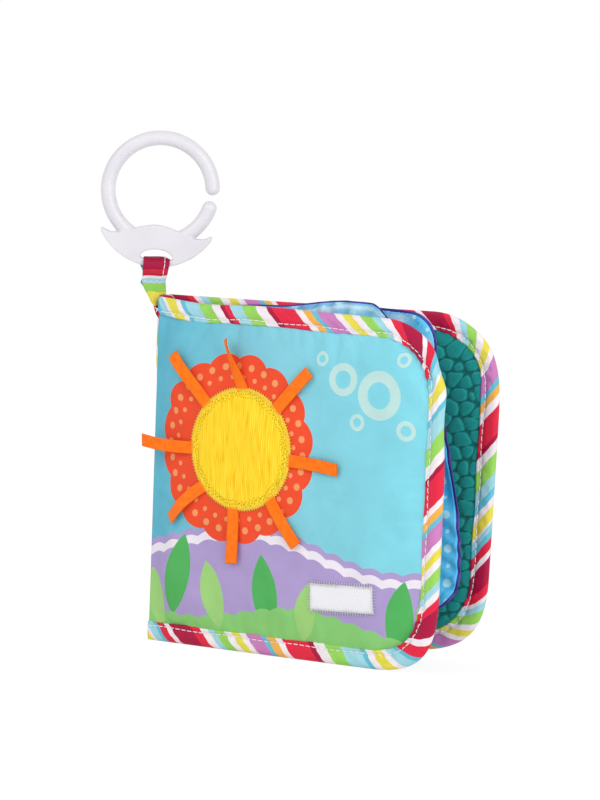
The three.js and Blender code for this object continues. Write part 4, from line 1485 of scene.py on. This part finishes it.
def strapPoint(run, up, lift):  # run counts from the foot up the front leg, over the bar and down again
    angle = math.pi + strapMeet - (run - strapStem) / strapEye
    rising = run < strapStem
    falling = run > strapTotal - strapStem
    outThrough = np.where(rising, -1, np.where(falling, 1, np.cos(angle)))
    outUp = np.where(rising | falling, 0, np.sin(angle))
    leg = strapHalf + 0.05
    through = np.where(rising, -leg, np.where(falling, leg, strapEye * np.cos(angle)))
    rise = np.sin(angle)
    arcZ = strap["eyeZ"] + strapEye * rise * np.where(rise > 0, strap["eyeFlat"], 1)
    arcZ = arcZ - strap["eyeDroop"] * clamp(2 * up - 1) ** 3 * clamp(rise)
    legZ = strap["footZ"] + np.where(rising, run, strapTotal - run)
    z = np.where(rising | falling, legZ, arcZ)
    heights = [strap["footZ"], strap["footZ"] + 2.8, strap["footZ"] + 6.2, strap["eyeZ"]]
    width = np.interp(z, heights, strap["widths"])
    shift = np.interp(z, heights, strap["shifts"])
    across = (up - 0.5) * width + shift
    rear = ease((run / strapTotal - 0.55) / 0.1) * clamp(1 - 2 * up)
    for height, reach, spread in strap["flares"]:
        across = across - rear * reach * bell((z - height) / spread)
    ripple = 0.14 * np.sin(run / 2.3 + up * 4) * ease((run - 4) / 6) * ease((strapTotal - 4 - run) / 6)
    return hangerPoint(across, through + outThrough * (lift + ripple), z + outUp * (lift + ripple))


def makeStrap():
    grid, along, up = unitGrid(strap["along"], strap["across"])
    run = along * strapTotal
    aside = (up - 0.5) * strap["widths"][-1]
    printed = run - 0.13 * aside + 0.5 * np.sin(aside / 3)
    shapeSheet(grid, strapPoint(run, up, 0), (0, 0, 1), np.stack([printed, aside], 1))
    faceUp(grid)
    piece = makePiece("hangingStrap", grid, strapTape, "strap", ["hanging_strap"])
    thicken(piece, strap["tape"], 0)
    strokes = []
    for number in range(7):
        shares = np.array([0.05, 0.3, 0.7, 0.95]) / 7 + number / 7
        wander = strap["closingSeam"] + 0.35 * (-1) ** number
        lift = strapHalf + np.array([-0.1, 0.2, 0.2, -0.1])
        strokes.append(strapPoint(wander + 0 * shares, 0.06 + 0.88 * shares, lift))
    for number in range(11):
        run = strap["edgeSeam"] + strap["edgePitch"] * number + np.array([0, 0.6, 2.2, 2.8])
        strokes.append(strapPoint(run, 0.82 + 0 * run, strapHalf + np.array([-0.15, 0.2, 0.2, -0.15])))
    threads("strapStitches", strokes, strap["thread"], whiteThread, "strap")


tail = {  # the strap's end below the hem, twisted and sewn down beside the spine
    "across": [-4.7, -4.8, -4.6, -4.1, -3.5, -2.9, -2.5],
    "through": [-0.9, -1.1, -1.4, -1.9, -2.6, -3.2, -3.5],
    "z": [172.4, 170.4, 168, 165.4, 163, 160.8, 158.8],
    "widths": [9.8, 8.6, 6.4, 4.2, 3.8, 3.4, 1.4],
    "twists": [0, 5, 14, 48, 20, 5, 0],
    "thickness": 0.8,
    "knotThread": 0.45,
    "knotStitches": [  # across and z of both ends
        ((-5.2, 164.2), (-2.2, 161.4)), ((-4.6, 161.6), (-3.0, 164.4)), ((-4.0, 163.6), (-1.4, 162.6)),
    ],
}


def makeTail():
    grid, along, up = unitGrid(48, 8)
    stations = np.linspace(0, 1, len(tail["z"]))
    across, through, z, widths, twists = (
        np.interp(along, stations, tail[key]) for key in ("across", "through", "z", "widths", "twists")
    )
    aside = (up - 0.5) * widths
    turn = np.radians(twists)
    bulge = 0.35 * np.cos((up - 0.5) * math.pi) * ease(along * 3)
    points = hangerPoint(across + aside * np.cos(turn), through + aside * np.sin(turn) - bulge, z)
    printed = z - book["coverHeight"] - 1.4 - 0.25 * aside
    shapeSheet(grid, points, -Vector(hangerPoint(0.0, 1.0, 0.0)), np.stack([printed, aside], 1))
    piece = makePiece("strapTail", grid, strapTape, "back_cover")
    refine(piece)
    bake(piece)
    thicken(piece, tail["thickness"])
    strokes = []
    share = np.linspace(0, 1, 5)
    for start, end in tail["knotStitches"]:
        side = start[0] + (end[0] - start[0]) * share
        height = start[1] + (end[1] - start[1]) * share
        strokes.append(hangerPoint(side, -3.6 - 0.5 * np.sin(math.pi * share), height))
    threads("strapKnot", strokes, tail["knotThread"], whiteThread, "back_cover")


ring = {
    "radius": 25.6,
    "bar": 3.65,
    "gap": 2.9,
    "gapAngle": -4,
    "tilt": 3.3,
    "shift": -1,  # along the bar; the slot stays in line with the strap
    "barShift": -5.4,
    "drop": 36.3,
    "crescentRadius": 31.8,
    "crescentDepth": 7.3,
    "crescentBar": 3,
    "tipX": 27.3,
    "tipWidth": 1.8,
    "dipShare": 0.72,
    "dipRise": 13.9,
    "crownRise": 19,
    "slotHalfWidth": 8.2,
    "slotHeight": 5.8,
    "voxel": 0.36,
    "softness": 8,
}


def whitePlastic():
    # Injection-moulded polypropylene: smooth, slightly waxy gloss.
    sockets = {"Roughness": 0.34, "IOR": 1.49, "Coat Weight": 0.1, "Coat Roughness": 0.3}
    made, tree, shader = newMaterial("mouldedPolypropylene", sockets)
    place = objectMap(tree)
    tint(tree, shader, noisy(tree, place, 60, 2), [(0.3, "#d5d2d9"), (0.7, "#dbd8de")])
    emboss(tree, shader, noisy(tree, place, 700, 2), 0.012)
    return made


def bowl(centreY, radius, halfWidth, steps):  # an arc that opens upwards, from left to right
    turn = math.asin(halfWidth / radius)
    angles = np.linspace(-turn, turn, steps + 1)
    return [(radius * math.sin(a), centreY - radius * math.cos(a)) for a in angles]


def castIn(mesh, outline, hole, depth):  # a plate of one outline with one hole
    loops = []
    for points in (outline, hole):
        corners = [mesh.verts.new((x * mm, -depth / 2 * mm, z * mm)) for x, z in points]
        loops += [mesh.edges.new(pair) for pair in zip(corners, corners[1:] + corners[:1])]
    filled = bmesh.ops.triangle_fill(mesh, use_beauty=True, edges=loops)["geom"]
    faces = [item for item in filled if isinstance(item, bmesh.types.BMFace)]
    made = bmesh.ops.extrude_face_region(mesh, geom=faces)["geom"]
    moved = [item for item in made if isinstance(item, bmesh.types.BMVert)]
    bmesh.ops.translate(mesh, verts=moved, vec=(0, depth * mm, 0))


def splineThrough(points, steps):  # a smooth line through the points, ends doubled
    held = [points[0], *points, points[-1]]
    line = []
    for a, b, c, d in zip(held, held[1:], held[2:], held[3:]):
        bend, twist = 2 * a - 5 * b + 4 * c - d, 3 * b - a - 3 * c + d
        for share in np.arange(steps) / steps:
            line.append(0.5 * ((2 * b) + (c - a) * share + bend * share**2 + twist * share**3))
    return [tuple(point) for point in line] + [tuple(points[-1])]


def makeRing():
    # Made round the middle of the crescent's bar, set in the strap's eye and fused into one moulding.
    halfGap = (ring["gap"] / 2 + ring["bar"]) / ring["radius"]
    start = math.radians(ring["gapAngle"]) + halfGap
    turn = 2 * math.pi - 2 * halfGap
    centre = Vector((0, 0, ring["drop"])) * mm
    mesh = bmesh.new()
    section = bmesh.ops.create_circle(mesh, segments=40, radius=ring["bar"] * mm, cap_ends=False)["verts"]
    bmesh.ops.translate(mesh, verts=section, vec=(ring["radius"] * mm, 0, 0))
    bmesh.ops.rotate(mesh, verts=section, cent=(0, 0, 0), matrix=Matrix.Rotation(-start, 3, "Y"))
    bmesh.ops.translate(mesh, verts=section, vec=centre)
    bmesh.ops.spin(mesh, geom=list(mesh.edges), cent=centre, axis=(0, -1, 0), angle=turn, steps=150)
    bmesh.ops.holes_fill(mesh, edges=[edge for edge in mesh.edges if edge.is_boundary])
    for angle in (start, start + turn):
        tip = centre + Vector((math.cos(angle), 0, math.sin(angle))) * ring["radius"] * mm
        place = Matrix.Translation(tip)
        bmesh.ops.create_uvsphere(mesh, u_segments=40, v_segments=24, radius=ring["bar"] * mm, matrix=place)
    arcCentre = ring["crescentRadius"] - ring["crescentBar"] / 2
    lower = bowl(arcCentre, ring["crescentRadius"], ring["tipX"], 40)
    tipZ = lower[0][1] + ring["tipWidth"]
    dip = ring["tipX"] * ring["dipShare"]
    rightHalf = [(ring["tipX"], tipZ), (dip, ring["dipRise"])]
    crest = rightHalf + [(0, ring["crownRise"])] + [(-x, z) for x, z in reversed(rightHalf)]
    upper = splineThrough([np.array(point) for point in crest], 10)
    floorRadius = ring["crescentRadius"] - ring["crescentBar"]
    slotFloor = [(x - ring["shift"], z) for x, z in bowl(arcCentre, floorRadius, ring["slotHalfWidth"], 20)]
    shoulder = slotFloor[0][1]
    rise = ring["slotHeight"] + ring["crescentBar"] / 2 - shoulder
    turns = np.linspace(0, math.pi, 21)[1:-1]
    half, shift = ring["slotHalfWidth"], ring["shift"]
    arch = [(half * math.cos(a) - shift, shoulder + rise * math.sin(a)) for a in turns]
    castIn(mesh, lower + upper, slotFloor + arch, ring["crescentDepth"])
    bmesh.ops.recalc_face_normals(mesh, faces=mesh.faces)
    bmesh.ops.translate(mesh, verts=mesh.verts, vec=(ring["shift"] * mm, 0, 0))
    tilt = Matrix.Rotation(math.radians(ring["tilt"]), 3, "Y")
    bmesh.ops.rotate(mesh, verts=mesh.verts, cent=(0, 0, 0), matrix=tilt)
    bmesh.ops.translate(mesh, verts=mesh.verts, vec=(ring["barShift"] * mm, 0, strap["eyeZ"] * mm))
    yaw = Matrix.Rotation(math.radians(strap["yaw"]), 3, "Z")
    bmesh.ops.rotate(mesh, verts=mesh.verts, cent=(0, 0, 0), matrix=yaw)
    piece = makePiece("linkRing", mesh, whitePlastic(), "ring", ["link_ring"])
    fuse = piece.modifiers.new("fused moulding", "REMESH")
    fuse.mode = "VOXEL"
    fuse.voxel_size = ring["voxel"] * mm
    fuse.use_smooth_shade = True
    soften = piece.modifiers.new("rounded edges", "SMOOTH")
    soften.factor = 0.5
    soften.iterations = ring["softness"]
    bake(piece)


# Stage and light

lights = {
    "floorGlow": 1.06,
    "floorShare": 0.85,  # how much of the floor's brightness is its own, so that shadows stay faint
    "world": 0.72,
    "middle": (0.07, 0, 0.1),
    "key": {"place": (-0.5, -1.3, 1.2), "size": 1.0, "power": 7},
    "fill": {"place": (1.5, -0.75, 0.6), "size": 1.2, "power": 12},
}


def makeStage():
    made, tree, shader = newMaterial("paleFloor", {"Roughness": 0.9, "Base Color": linear("#f4f4f4")})
    rays = add(tree, "LightPath")
    sees = reckon(tree, "MAXIMUM", rays.outputs["Is Camera Ray"], rays.outputs["Is Glossy Ray"])
    glow = add(tree, "Emission", {"Color": (1, 1, 1, 1), "Strength": lights["floorGlow"]})
    share = reckon(tree, "MULTIPLY", sees, lights["floorShare"])
    mixed = add(tree, "MixShader", {0: share, 1: shader.outputs[0], 2: glow.outputs[0]})
    tree.links.new(mixed.outputs[0], tree.nodes["Material Output"].inputs["Surface"])
    mesh = bmesh.new()
    bmesh.ops.create_grid(mesh, x_segments=1, y_segments=1, size=12)
    data = bpy.data.meshes.new("floor")
    mesh.to_mesh(data)
    mesh.free()
    data.materials.append(made)
    floor = bpy.data.objects.new("floor", data)
    scene.collection.objects.link(floor)


def makeLights():
    world = bpy.data.worlds.new("studio")
    scene.world = world
    world.use_nodes = True
    tree = world.node_tree
    rays = add(tree, "LightPath")
    seen = rays.outputs["Is Camera Ray"]
    for name in ("Is Glossy Ray", "Is Transmission Ray"):
        seen = reckon(tree, "MAXIMUM", seen, rays.outputs[name])
    strength = add(tree, "MapRange", {0: seen, 3: lights["world"], 4: 1})
    shade = tree.nodes["Background"]
    shade.inputs["Color"].default_value = (1, 1, 1, 1)
    tree.links.new(strength.outputs[0], shade.inputs["Strength"])
    for name in ("key", "fill"):
        lamp = lights[name]
        data = bpy.data.lights.new(name, "AREA")
        data.size = lamp["size"]
        data.energy = lamp["power"]
        light = bpy.data.objects.new(name, data)
        light.location = lamp["place"]
        towards = Vector(lights["middle"]) - light.location
        light.rotation_euler = towards.to_track_quat("-Z", "Y").to_euler()
        scene.collection.objects.link(light)


# The strap's tape is painted darker than the binding's: painted shade.
strapTape = satinTape("stripedStrapTapePaintedShade", strap["bands"], 0.86)
makeStrap()
makeTail()
makeRing()
print("strap and ring made")
makeStage()
makeLights()
scene.view_settings.view_transform = "Standard"
print("finishing")
